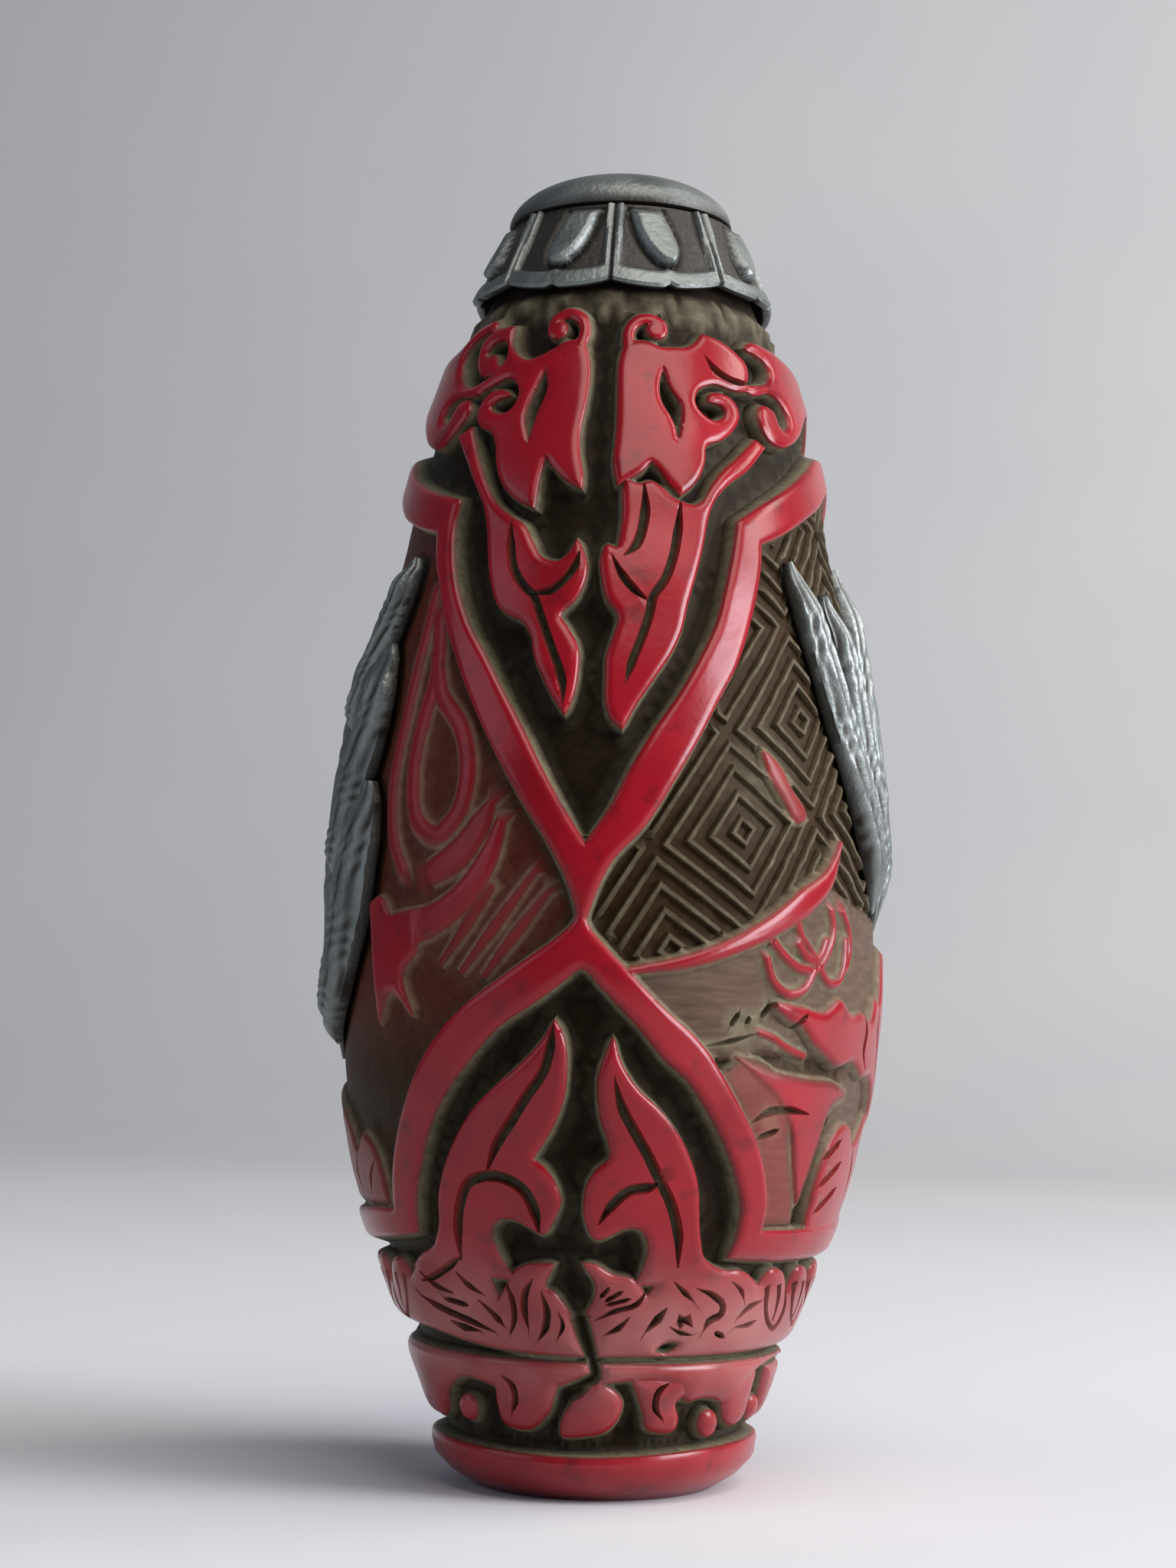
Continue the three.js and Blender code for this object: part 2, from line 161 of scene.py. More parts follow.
RIGHT_LOBE = [
    (1.3, 61.9), (0.95, 61), (0.9, 60), (0.95, 59), (1, 57.5), (1, 56), (0.95, 54.6), (1.2, 53.4, 1),
    (2, 53.9), (2.5, 54.3), (2.9, 54.8, 1), (3.3, 54.5), (4, 53.6), (4.6, 53, 1), (5.4, 53.8),
    (5.9, 55), (6, 56.1), (6.8, 56.5), (7.6, 57.2), (8, 58.2), (7.6, 59), (6.8, 59.3), (6.1, 59.1),
    (6, 58.7, 1), (6.8, 58.6), (7.15, 58.1), (6.6, 57.55), (5.8, 57.8), (5.2, 58.6), (5.4, 59.4),
    (6.2, 59.85), (7.6, 59.7), (9.3, 59.95, 1), (9.3, 60.3, 1), (8.6, 60.2), (8.65, 60.9), (8.5, 61.5),
    (7.7, 62.1), (6.5, 62.65), (5.5, 62.85, 1), (5.1, 62.2), (4.6, 61.85), (3.9, 61.75), (3.2, 61.7),
    (2.2, 62)]
LEFT_HANGING = [
    (-8.9, 56.9, 1), (-8, 55.5), (-7.2, 54), (-6.4, 52.5), (-6, 51), (-5.8, 49.5), (-5.5, 48),
    (-5, 46.8), (-4.2, 46.2), (-3.6, 45.95), (-3, 45.1), (-2.75, 44), (-2.2, 42.8), (-1.5, 41.6),
    (-1, 40.9, 1), (-0.65, 41.8), (-0.45, 43), (-0.5, 44.4), (-1, 45.3), (-1.5, 46.15), (-0.75, 47),
    (-0.3, 48), (-0.22, 48.8), (-0.5, 49.7), (-0.8, 50.25, 1), (-1.1, 49.6), (-1.8, 49.05),
    (-2.7, 49.3), (-3.3, 50.2), (-3.9, 51.2), (-4.5, 51.6), (-5.5, 52.4), (-6.8, 54.5), (-7.6, 56.4),
    (-7.9, 57.3, 1)]
RIGHT_HANGING = [
    (9.9, 56.6, 1), (8.6, 55), (7.4, 54), (6.6, 53), (6.2, 51.8), (6, 50.5), (5.7, 49), (5.2, 47),
    (4.9, 45.5), (4.4, 44.3), (3.6, 43), (2.6, 41.4), (2, 40.2, 1), (1.45, 40.7), (1.15, 41.5),
    (1.1, 42.6), (1.1, 44), (1.4, 45), (1.6, 46.2), (1, 47), (0.7, 48), (0.55, 49.2), (0.85, 50),
    (1.3, 49.8), (1.5, 50.6), (1.6, 52), (1.55, 53.2), (1.7, 53.65, 1), (2.4, 53.45), (2.95, 53.65),
    (3.5, 53.4), (4.2, 52.8), (4.8, 52.6), (5.5, 52.5), (5.95, 52.8), (6.4, 53.7), (7.1, 54.7),
    (8, 55.6), (9.2, 56.9, 1)]
LEFT_RISING = [
    (-1, 25.3, 1), (-1.6, 24.3), (-2.6, 23.2), (-4, 22), (-5.5, 20.6), (-6.6, 19), (-7.3, 17.5),
    (-7.7, 16), (-7.8, 14.5), (-8.3, 13.5), (-9.5, 12.9), (-10.5, 12.2, 1), (-3.2, 12, 1),
    (-3.9, 12.8), (-4.3, 13.6), (-4.5, 14.6), (-4, 15.2), (-3.2, 15.2), (-2.3, 14.8), (-1.7, 14.5),
    (-1, 15.4), (-0.7, 16.2), (-1, 17.1), (-1.6, 17.9), (-2.1, 18.3), (-1.7, 19), (-1, 20.2),
    (-0.5, 21.6), (-0.4, 23), (-0.55, 24.4)]
RIGHT_RISING = [
    (2, 24.5, 1), (2.4, 23.2), (3.2, 22), (4.4, 20.9), (5.4, 19.7), (6.1, 18.4), (6.5, 17.2),
    (6.6, 15.8), (6.7, 14.4), (7, 13.3), (7.7, 12.8), (9.5, 12.4), (10.5, 12, 1), (3.2, 11.9, 1),
    (3.8, 13.1), (3.9, 14.2), (3.4, 14.9), (2.6, 14.9), (1.8, 14.5), (1.2, 14.3), (0.6, 15.4),
    (0.6, 16.4), (0.8, 17.2), (1.2, 17.8), (1.9, 18.5), (1.85, 19.2), (1.5, 20.2), (1.3, 21.5),
    (1.3, 22.5), (1.6, 23.5)]
RIGHT_SHOULDER = [
    (8.6, 59.85), (9.6, 60.35), (10.4, 60.75), (10.65, 61.4), (10.25, 62), (9.3, 62.35), (8.5, 62.55),
    (8.9, 62.95), (10.2, 63), (12, 62.8), (14, 62.6), (17.2, 62.6, 1), (18, 60.4, 1), (15.6, 60.1),
    (14.3, 59.2), (13.4, 58.2), (12.4, 57.4), (11.2, 56.95), (10.3, 57.15), (9.7, 57.8), (9.45, 58.6),
    (9.7, 59.1), (10.3, 59.15), (10.8, 58.9), (11.1, 58.3), (11.7, 57.95), (12.2, 58.3), (12.2, 59),
    (11.7, 59.6), (10.9, 60.05), (10, 60.05), (9.2, 59.7)]
LEFT_SHOULDER = [
    (-7.6, 59.85), (-8.4, 59.75), (-9.2, 60.05), (-9.75, 60.8), (-9.9, 61.6), (-9.7, 62.3), (-9, 62.9),
    (-7.9, 63.3), (-7, 63.45), (-7, 63.75), (-8.2, 63.75), (-9.4, 63.3), (-10.3, 62.9), (-12, 62.7),
    (-14, 62.6), (-17.2, 62.6, 1), (-18, 60.4, 1), (-15.6, 60.1), (-14.2, 59), (-13.2, 58),
    (-12.2, 57.1), (-11.2, 56.65), (-10.4, 56.65), (-9.5, 57.15), (-8.7, 57.8), (-8.2, 58.5),
    (-8.4, 59), (-9, 59.1), (-9.6, 58.7), (-10, 58.1), (-10.5, 57.9), (-10.9, 58.2), (-10.8, 58.8),
    (-10.2, 59.3), (-9.2, 59.45), (-8.2, 59.3), (-7.4, 59.45)]

# Bands round the foot: lotus band, plain strip, hanging scrolls and the foot rim.
LOTUS_BAND = [
    (-24, 8.8, 1), (-9, 8.8), (-6, 8.4), (-4, 8.2), (4, 8.1), (24, 8.2, 1), (24, 11.2, 1),
    (19.5, 11.2, 1), (18.6, 12.3), (17.6, 12.35), (16.6, 11.1, 1), (15.7, 12.4), (14.7, 12.45),
    (13.7, 11.2, 1), (12.8, 12.4), (11.8, 12.5), (10.9, 11.7, 1), (9.6, 12.5), (8, 12.5), (5.5, 12.5),
    (4.6, 12.4), (4.2, 11.7), (3.8, 11.35), (3.5, 11.7), (3.2, 12.1), (2, 12.4), (0.9, 12.95),
    (0.45, 13, 1), (1.15, 11.8), (0.75, 10.6), (0.1, 9.9), (-0.7, 10.8), (-1.2, 11.4),
    (-1.6, 11.6), (-1.15, 12.9, 1), (-2.4, 12.8), (-3.2, 12.5), (-3.7, 11.8), (-4.3, 10.9, 1),
    (-4.7, 11.7), (-5.2, 12.6), (-6, 12.6), (-8, 12.6), (-9.6, 12.6), (-10.9, 11.7, 1), (-11.8, 12.5),
    (-12.8, 12.4), (-13.7, 11.2, 1), (-14.7, 12.4), (-15.7, 12.4), (-16.6, 11.1, 1), (-17.6, 12.35),
    (-18.6, 12.3), (-19.5, 11.2, 1), (-24, 11.2, 1)]
# Lines inside each petal on the sides, from the petal's middle, and where the petals stand.
PETAL_LINE = [(-0.95, 11.5), (-1, 10.5), (-0.6, 9.6), (0, 9.2), (0.6, 9.6), (1, 10.5), (0.95, 11.5)]
PETAL_VEIN = [(0, 11.7), (0.1, 10.9), (0, 10.1)]
PETAL_VEIN_WIDTHS = [0.4, 0.3, 0.15]
PETALS = (12.3, 15.2, 18.05)
STRIP_BAND = [
    (-24, 6.3, 1), (-8.9, 5.3), (-8.5, 5.8), (-7.5, 6.4), (-6, 6.4), (-5.2, 6.2), (0, 6.5), (5.6, 6.2),
    (6.2, 5.6), (7.5, 5.7), (8.5, 5.5), (9.3, 5.2), (10.5, 6.2), (24, 6.3, 1), (24, 7.4, 1), (0, 7.6),
    (-24, 7.8, 1)]
FOOT_BAND = [(-24, -2, 1), (24, -2, 1), (24, 2.9, 1), (8, 2.8), (0, 2.5), (-8, 2.7), (-24, 2.8, 1)]
LEFT_DROP = [
    (-4.8, 6.8, 1), (-4.7, 5), (-4.4, 4.2), (-3.5, 3.9), (-2.6, 4), (-1.9, 4.6), (-1.4, 5.3),
    (-1.2, 6.2), (-1, 6.9, 1)]
RIGHT_DROP = [
    (3, 6.8, 1), (3.4, 5.8), (3.7, 4.8), (3.8, 4.2), (4.6, 3.9), (5.5, 4), (5.7, 4.6), (5.5, 5.4),
    (6, 5.9), (6.2, 6.8, 1)]
SIDE_DROP = [
    (-1.5, 6.9, 1), (-1.35, 5.4), (-0.95, 4.25), (0, 3.85), (0.8, 4.2), (1.15, 5.2), (1.5, 6.9, 1)]
SIDE_DROPS = (10.2, 14.6)
SCROLL_LEAF = [
    (-0.95, 3.8), (-0.8, 4.6), (-0.2, 5.5), (0.4, 5.9), (1, 6.5), (1.8, 6.3), (2.4, 5.6), (2.1, 4.6),
    (1.5, 4), (0.5, 3.75)]
BALL = [(0.7, 0), (0.5, 0.5), (0, 0.7), (-0.5, 0.5), (-0.7, 0), (-0.5, -0.5), (0, -0.7), (0.5, -0.5)]
FRONT_BALLS = [(-7, 4.7), (7.8, 4.2)]
SIDE_BALL = (12.4, 4.6)
# Crack that runs down through the bands at the front.
CRACK = [(0.2, 10), (0.5, 9), (0.8, 8), (1, 7), (0.2, 6.5), (-0.8, 6), (-1.2, 5), (-1.6, 4.3)]
CRACK_WIDTHS = [1.1, 1.0, 0.8, 0.8, 0.8, 0.8, 0.7, 0.6]

# Pictures in the panels.
TERRACE = [(2.9, 27.9), (6, 28.5), (8.5, 29.4), (11, 30.6), (13, 31.8), (15, 33.2), (16.2, 35.2)]
TERRACE_WIDTHS = [0.3, 0.6, 0.75, 1.0, 1.35, 0.9, 0.2]
ROCK_GROUND = [
    (2.6, 27.9, 1), (6, 28.4), (8.5, 29.3), (11, 30.4), (13, 31.5), (15.5, 32.6), (18, 32), (30, 31, 1),
    (30, 23, 1), (11, 24, 1), (7.2, 23.6, 1), (5, 25.6), (3.9, 26.6)]
ROCK_SLOPE = [
    (8, 22.8, 1), (9.2, 23.6), (11, 23.2), (12.5, 21), (12.6, 19), (13.2, 16.5), (13.4, 14.9, 1),
    (10.6, 14.9, 1), (10.4, 18.5), (9.2, 21)]
ROCK_CREST = [
    (11, 26.4), (12, 25.7), (13, 25.4), (13.8, 24.6), (14.8, 24), (16, 23.4), (18, 23.6), (19.6, 22.8),
    (21, 22.9), (22.4, 21.8), (23.4, 20.4), (30, 19, 1), (30, 30.2, 1), (24.6, 29.8), (23.4, 28.4),
    (22.6, 26.7), (21.4, 27), (20.4, 25.7), (19, 26.2), (17.6, 26), (16.2, 26.8), (14.6, 26.1),
    (13, 26.3)]
ROCK_HOLLOW = [(15.6, 19, 1), (17, 22), (18.5, 24, 1), (30, 24, 1), (30, 19, 1)]
ROCK_FACE = [
    (8.7, 23.7), (11, 23), (14, 22.6), (16.5, 22.4), (18, 21.8), (16.5, 21.3), (15.2, 19), (14.3, 17.2),
    (13.6, 16), (13.1, 17.5), (12.6, 20), (11.5, 21.5), (9.8, 22.8)]
ROCK_SIDE = [
    (14.5, 15.2), (15, 17), (16, 19), (17.2, 20), (18.6, 20.1), (19.8, 19), (21, 19.4), (22.2, 20.2),
    (23.4, 20.8), (30, 21.4, 1), (30, 15, 1)]
LEFT_ROCK = [
    (-12.2, 15.4, 1), (-12.7, 17.2), (-13.6, 18.5), (-15, 19.1), (-16.2, 18.2), (-17.5, 19.4),
    (-19, 20.3), (-20.6, 19.6), (-22, 20.8), (-30, 21.6, 1), (-30, 15.2, 1)]
ROCK_EDGE = [(10.2, 25), (11.2, 24.7), (12, 24.3), (13.5, 23.8)]
ROSETTES = [
    [(10.5, 28.8), (11, 27.6), (12, 27), (13.2, 27.3), (14, 28.3)],
    [(12.7, 29.7), (13.2, 29.1), (14, 28.8), (14.6, 29.2), (15, 29.9)],
    [(14.5, 28.4), (15.3, 27.7), (16.3, 27.8), (16.9, 28.8), (17, 30)],
    [(10.9, 29.7), (11.8, 28.9), (12.7, 28.4), (13.6, 28.3)],
    [(12.6, 30.8), (12.9, 30.1), (13.6, 29.4), (14.3, 28.6)],
    [(15.4, 31.6), (15.7, 30.6), (15.4, 29.6), (14.7, 28.7)],
    [(16.6, 31.6), (17.3, 30.7), (17.5, 29.6), (17.1, 28.6)]]
ROSETTE_LINE = 0.44
CHIP = [(10.2, 39.6), (11, 39.2), (12.2, 37.8), (13.4, 36.3), (12.9, 36), (11.6, 37.2), (10.5, 38.6)]
STEM = [(-9.7, 48.2), (-10.5, 45), (-11.5, 41), (-12.2, 37), (-11.8, 34.5), (-10.8, 32.8)]
LOOP = [
    (-9.2, 46.6), (-9.1, 43.4), (-10, 40.6), (-10.4, 38), (-9.7, 35.3), (-8.5, 34.7), (-7.2, 35.6),
    (-6.5, 38), (-7.1, 40.4), (-8.6, 42.2), (-9.2, 44.4)]
BRANCH = [(-4.3, 35.4), (-5, 33.5), (-6.5, 31.5), (-8.5, 30.3), (-10.8, 29.8)]
SPROUT = [(-8.8, 32.7), (-7, 33.6), (-5.6, 35.2), (-4.9, 36.4)]
ROOT = [
    (-13.7, 31.3, 1), (-12.6, 31.6), (-11.5, 30.6), (-9.6, 30.9, 1), (-9.4, 28.8), (-10.4, 27.6),
    (-9.6, 25.4, 1), (-11.4, 26.6), (-12.4, 25, 1), (-13, 27.5)]

# Engraved lines: path and width.
ENGRAVED = [
    ([(-4.5, 51.5), (-4.4, 50), (-4.1, 48.6), (-3.5, 47.7), (-3, 47.2), (-2.5, 46), (-1.9, 44.5),
      (-1.2, 42.6), (-1.1, 41.4)], 0.5),
    ([(-3.2, 47.4), (-2.2, 47.4), (-1.4, 48), (-0.8, 48.9), (-0.6, 49.6)], 0.46),
    ([(2.6, 53.5), (2.7, 52), (2.6, 51), (2.3, 50), (1.7, 49.4)], 0.52),
    ([(4.6, 52.7), (4.5, 51), (4.3, 49.5), (3.9, 48.2), (3.3, 47.2), (3.2, 46.5), (2.8, 45),
      (2.3, 43.5), (2.1, 42.6)], 0.48),
    ([(1.1, 49.4), (1.7, 48.3), (2.3, 47.6), (3.1, 47)], 0.44),
    ([(-1.05, 25.1), (-1.2, 24), (-1.6, 22.6), (-2.3, 21.6), (-3.2, 20.2), (-4, 19),
      (-4.6, 17.5)], 0.52),
    ([(-1.8, 14.5), (-2, 15.6), (-2.5, 16.6), (-3.4, 17.2), (-4.6, 17.35), (-5.6, 17), (-6.2, 15.8),
      (-6.4, 14.5), (-6.3, 12.9)], 0.56),
    ([(2.1, 22.4), (2.5, 20.9), (3.1, 19.8), (3.8, 18.6), (4.3, 17.6), (5, 16.2), (5.4, 14.6),
      (5.4, 12.9)], 0.54),
    ([(1.3, 15.1), (1.9, 16), (2.8, 16.8), (3.8, 17), (4.5, 17.2)], 0.52),
    ([(5.7, 61.4), (6.2, 60.8), (7, 60.35), (7.9, 60.2), (8.8, 60.35)], 0.4),
    ([(-4.2, 6.8), (-3.5, 6.2), (-3.4, 5.3), (-3.6, 4.8)], 0.32),
    ([(5, 6.6), (4.4, 6.2), (4.2, 5.2), (4.6, 4.6)], 0.32),
    ([(7, 24.2), (8.5, 24.5), (10, 24.9)], 0.28),
    ([(8.4, 25.2), (9, 26)], 0.24),
    ([(9.4, 25.4), (9.7, 25.8)], 0.24),
    ([(10.3, 25.7), (11.1, 26.6)], 0.28),
    ([(12.3, 25.2), (13.2, 26)], 0.28),
    ([(9.8, 20.3), (11, 20.9), (12.5, 21), (14, 20.8)], 0.44),
    ([(10.2, 19.5), (11.8, 20)], 0.28),
    ([(15.6, 18.4), (17.4, 19.4)], 0.34),
    ([(15.1, 16.9), (17.8, 18.2)], 0.34),
    ([(15, 15.5), (17.6, 16.8)], 0.34),
    ([(19.2, 26.1), (19.5, 25.2), (19.2, 24.2), (19.6, 23.2)], 0.36),
    ([(22.4, 26.7), (22.2, 25.4), (22.7, 24), (22.4, 22.4)], 0.36),
    ([(19.8, 18.8), (20.2, 17.6), (19.8, 16.4)], 0.34),
    ([(22.6, 19.6), (22.2, 18.2), (22.5, 16.8)], 0.34),
    ([(-13.4, 17.8), (-14.2, 16.8), (-14.4, 15.9)], 0.34),
    ([(-16.3, 18), (-16.6, 17), (-16.2, 16)], 0.34),
    ([(-19.6, 19.6), (-19.2, 18.2), (-19.7, 16.8)], 0.34),
]
# Engraved lines on the lotus band; only the near side has them.
LOTUS_LINES = [
    ([(-6.2, 13.1), (-7, 12.6), (-8.4, 11.8), (-9.4, 11.5)], 0.4),
    ([(-2.2, 12.1), (-2.6, 11.4), (-2.7, 10.4), (-2.5, 9.4)], 0.34),
    ([(-1.8, 11.4), (-1.5, 10.4), (-1.6, 9.5), (-2, 8.8)], 0.38),
    ([(-9.8, 10.7), (-8.3, 10.2), (-6, 9.6), (-4.4, 9.1)], 0.34),
    ([(-7.8, 10.7), (-6, 10.4)], 0.26),
    ([(-5.4, 10.8), (-4.2, 9.8), (-3.9, 9.5)], 0.32),
    ([(-7.4, 9.5), (-6.4, 9.2), (-5.4, 9.1)], 0.4),
    ([(1.3, 11.2), (1.8, 11.8)], 0.2),
    ([(1.5, 11), (2.5, 11.6)], 0.2),
    ([(1.5, 10.8), (2.9, 11.2)], 0.2),
    ([(1, 10), (2, 10.5), (3.2, 10.9), (3.8, 11.6)], 0.26),
    ([(4.8, 10.7), (4.3, 10.1), (3.6, 9.4)], 0.44),
    ([(5.7, 10), (5.9, 10)], 0.4),
    ([(6.5, 11.7), (7.5, 11.3), (8.1, 10.7), (8, 10.3), (7.2, 9.9), (6.9, 9.4)], 0.36),
    ([(9, 9.9), (10, 10.6), (11, 10.9)], 0.3),
    ([(8.9, 9.5), (10, 9.6), (10.6, 9.8)], 0.26),
    ([(-9.6, 12), (-8.2, 11.3), (-7, 11)], 0.28),
    ([(-6.8, 12.2), (-5.9, 11.5), (-5.1, 11.1)], 0.3),
    ([(-3.9, 11.9), (-3.4, 11), (-3.3, 9.8), (-3.6, 8.9)], 0.28),
    ([(-0.9, 10.4), (-0.7, 9.6), (-1, 8.9)], 0.26),
    ([(2.8, 10.2), (2.2, 9.6), (1.4, 9.2)], 0.3),
    ([(5.2, 12.1), (5.8, 11.5), (6.3, 11)], 0.3),
    ([(8.7, 12), (9.3, 11.5), (9.5, 11)], 0.28),
    ([(4.9, 9.7), (5.7, 9.3), (6.3, 9.2)], 0.26),
    ([(7.6, 9.3), (8.3, 9)], 0.3),
]
# Bars that lean across the left panel.
BARS = [[(-6.6, 27.6), (-4.6, 30), (-2.4, 32.8)], [(-5.2, 27.4), (-3.4, 29.6), (-1.6, 31.8)],
        [(-8, 28), (-6.2, 30.2), (-4.8, 32)]]
# An engraved line's depth, where its floor and its edge lie from its drawn edge, how much of its width is
# left at its ends, and how finely it is drawn.
ENGRAVING_DEPTH = 0.6
ENGRAVED_FLOOR = -0.14
ENGRAVED_EDGE = 0.03
ENGRAVED_END = 0.1
ENGRAVED_STEP = 0.35

# Cuts that go down to the ground: the slits and curls of the cloud scrolls and the foot scrolls.
CUTS = [
    [(-3.2, 60.4, 1), (-3, 59.2), (-3.5, 57.5), (-3.9, 55.9, 1), (-4.3, 57.5), (-4, 58.6)],
    [(3.3, 60.5, 1), (3.8, 59.3), (4.5, 58.2), (4.55, 57.2), (4.35, 56, 1), (4, 57.2), (3.2, 58.6),
     (3.1, 59.5)],
    [(-6, 62.4), (-6.9, 62.5), (-7.45, 62), (-7.5, 61.65), (-6.9, 61.65), (-6.55, 61.2), (-6.4, 60.8),
     (-5.9, 61.2)],
    [(4.2, 8.3), (4.9, 8.85), (5.7, 8.75), (5, 8.2)],
]
# Ringlets over the cloud scrolls: path and widths, and the balls that they end in.
RINGLETS = [
    ([(-1.35, 61.7), (-1.15, 62.6), (-1.4, 63.4), (-2.1, 63.75), (-2.8, 63.45), (-3, 62.9)],
     [0.55, 0.5, 0.55, 0.55, 0.6, 0.6]),
    ([(1.35, 61.7), (1.3, 62.6), (1.7, 63.25), (2.4, 63.45), (3, 63.15)], [0.55, 0.5, 0.55, 0.55, 0.6]),
]
RINGLET_ENDS = [(-2.75, 62.75), (2.85, 62.8)]
RINGLET_BALL = 0.8

# Fret behind the picture in the right panel: nested squares set on a slant, a few each way from the middle
# one. A ridge is level over a share of its half width, and the fret comes in over these heights.
FRET_CENTRE = (9.1, 35.3)
FRET_SLANT = math.radians(57)
FRET_PITCH = 0.93
FRET_RINGS = 4
FRET_CELL = 2 * FRET_PITCH * FRET_RINGS
FRET_REACH = 4
FRET_RIDGE = 0.21
FRET_LEVEL = 0.45 * FRET_RIDGE
FRET_HEIGHT = 0.4
FRET_IN = (26.5, 27.5)
# Middle and reach of the place by the chip where the fret is painted pale: rubbed dust, and a painted
# highlight where the window glints on it.
DUST_AND_GLINT_SPOT = (10.6, 38.4)
DUST_AND_GLINT_REACH = 2.4

# Silver leaves over each broad panel: foot, bend and tip as degrees and height, then width.
RIGHT_LEAVES = [
    ((84, 32), (65, 40), (52, 50.3), 2.6), ((87, 32), (78, 40), (66, 49), 2.6),
    ((90, 31), (90, 40), (90, 51.5), 3.0), ((93, 32), (102, 40), (114, 49), 2.6),
    ((96, 32), (115, 40), (128, 50.3), 2.6)]
LEFT_LEAVES = [
    ((-82, 24.5), (-58, 28), (-55, 38), 5.2), ((-80, 33), (-58, 37), (-56, 45.6), 4.6),
    ((-80, 41), (-56, 44.5), (-51.5, 50.3), 2.4), ((-90, 23), (-90, 36), (-90, 48.5), 7.0),
    ((-100, 41), (-124, 44.5), (-128.5, 50.3), 2.4), ((-100, 33), (-122, 37), (-124, 45.6), 4.6),
    ((-98, 24.5), (-122, 28), (-125, 38), 5.2)]
PANEL_MM_PER_DEGREE = 0.31
# Lift that a leaf's dome starts from and how far it rises, its furrows, nicks and thin ends, and the lift,
# gap and lean of the bed that it lies in.
LEAF_BASE = -0.42
LEAF_DOME = 0.85
LEAF_FURROW = 0.09
LEAF_NICK = 0.035
LEAF_THIN = 0.12
LEAF_BED = -0.8
LEAF_GAP = 0.3
BED_LEAN = 0.25


def smooth_line(points, closed, step=0.3):
    """A smooth line through the points, sampled about every step millimetres."""
    spots = [np.array(p[:2], float) for p in points]
    corner = [len(p) > 2 for p in points]
    count = len(spots)
    pieces = []
    for i in range(count if closed else count - 1):
        j = (i + 1) % count
        run = spots[j] - spots[i]
        length = np.hypot(*run) + 1e-9
        tangents = []
        for k, before, after in ((i, i - 1, j), (j, i, j + 1)):
            loose_end = not closed and (k == 0 or k == count - 1)
            if corner[k] or loose_end:
                tangents.append(run)
                continue
            back = spots[k] - spots[before % count]
            on = spots[after % count] - spots[k]
            back_length, on_length = np.hypot(*back) + 1e-9, np.hypot(*on) + 1e-9
            mean = (back / back_length * on_length + on / on_length * back_length)
            tangents.append(mean / (back_length + on_length) * length)
        parts = max(1, math.ceil(length / step))
        f = (np.arange(parts) / parts)[:, None]
        pieces.append((2 * f**3 - 3 * f**2 + 1) * spots[i] + (f**3 - 2 * f**2 + f) * tangents[0]
                      + (-2 * f**3 + 3 * f**2) * spots[j] + (f**3 - f**2) * tangents[1])
    if not closed:
        pieces.append(spots[-1][None, :])
    return np.concatenate(pieces)


class Shape:
    """A closed outline, or a line with a width, drawn on the chart."""

    def __init__(self, points, widths=None, step=0.3):
        self.closed = widths is None
        self.line = smooth_line(points, self.closed, step)
        self.half = np.zeros(len(self.line))
        if widths is not None:
            spots = np.array([p[:2] for p in points], float)
            given = np.concatenate([[0], np.cumsum(np.hypot(*np.diff(spots, axis=0).T))])
            drawn = np.concatenate([[0], np.cumsum(np.hypot(*np.diff(self.line, axis=0).T))])
            sizes = np.broadcast_to(np.array(widths, float), len(spots))
            self.half = np.interp(drawn / drawn[-1], given / given[-1], sizes) / 2

    def distance(self, x, z, reach=1.6):
        """Signed distance from the edge, negative inside; FAR beyond the reach."""
        out = np.full(len(x), FAR)
        low = self.line.min(0) - reach - self.half.max()
        high = self.line.max(0) + reach + self.half.max()
        near = np.nonzero((x > low[0]) & (x < high[0]) & (z > low[1]) & (z < high[1]))[0]
        if not len(near):
            return out
        px, pz = x[near], z[near]
        best = np.full(len(near), FAR)
        inside = np.zeros(len(near), bool)
        ends = range(len(self.line)) if self.closed else range(len(self.line) - 1)
        for i in ends:
            j = (i + 1) % len(self.line)
            ax, az = self.line[i]
            bx, bz = self.line[j]
            run = (bx - ax) ** 2 + (bz - az) ** 2 + 1e-12
            f = np.clip(((px - ax) * (bx - ax) + (pz - az) * (bz - az)) / run, 0, 1)
            gap = np.hypot(px - ax - f * (bx - ax), pz - az - f * (bz - az))
            best = np.minimum(best, gap - self.half[i] - f * (self.half[j] - self.half[i]))
            if self.closed and az != bz:
                crossed = ((az > pz) != (bz > pz)) & (px < ax + (pz - az) / (bz - az) * (bx - ax))
                inside ^= crossed
        out[near] = np.where(inside, -best, best) if self.closed else best
        return out

    def edge(self, offset):
        """The closed line that runs at this offset outside the edge."""
        line = self.line
        if self.closed:
            run = np.roll(line, -1, axis=0) - np.roll(line, 1, axis=0)
            area = np.sum(line[:, 0] * np.roll(line[:, 1], -1) - np.roll(line[:, 0], -1) * line[:, 1])
            turn = math.copysign(1, area)
            normal = np.stack([run[:, 1], -run[:, 0]], 1) * turn
            normal /= np.hypot(*normal.T)[:, None] + 1e-9
            return line + normal * offset
        run = np.gradient(line, axis=0)
        normal = np.stack([run[:, 1], -run[:, 0]], 1)
        normal /= np.hypot(*normal.T)[:, None] + 1e-9
        out = np.maximum(self.half + offset, 0.01)[:, None]
        return np.concatenate([line + normal * out, (line - normal * out)[::-1]])


def moved(points, across, up, side=1, size=1):
    """A motif's points set down at a place on the chart, mirrored where side is -1."""
    return [(across + side * size * p[0], up + size * p[1], *p[2:]) for p in points]


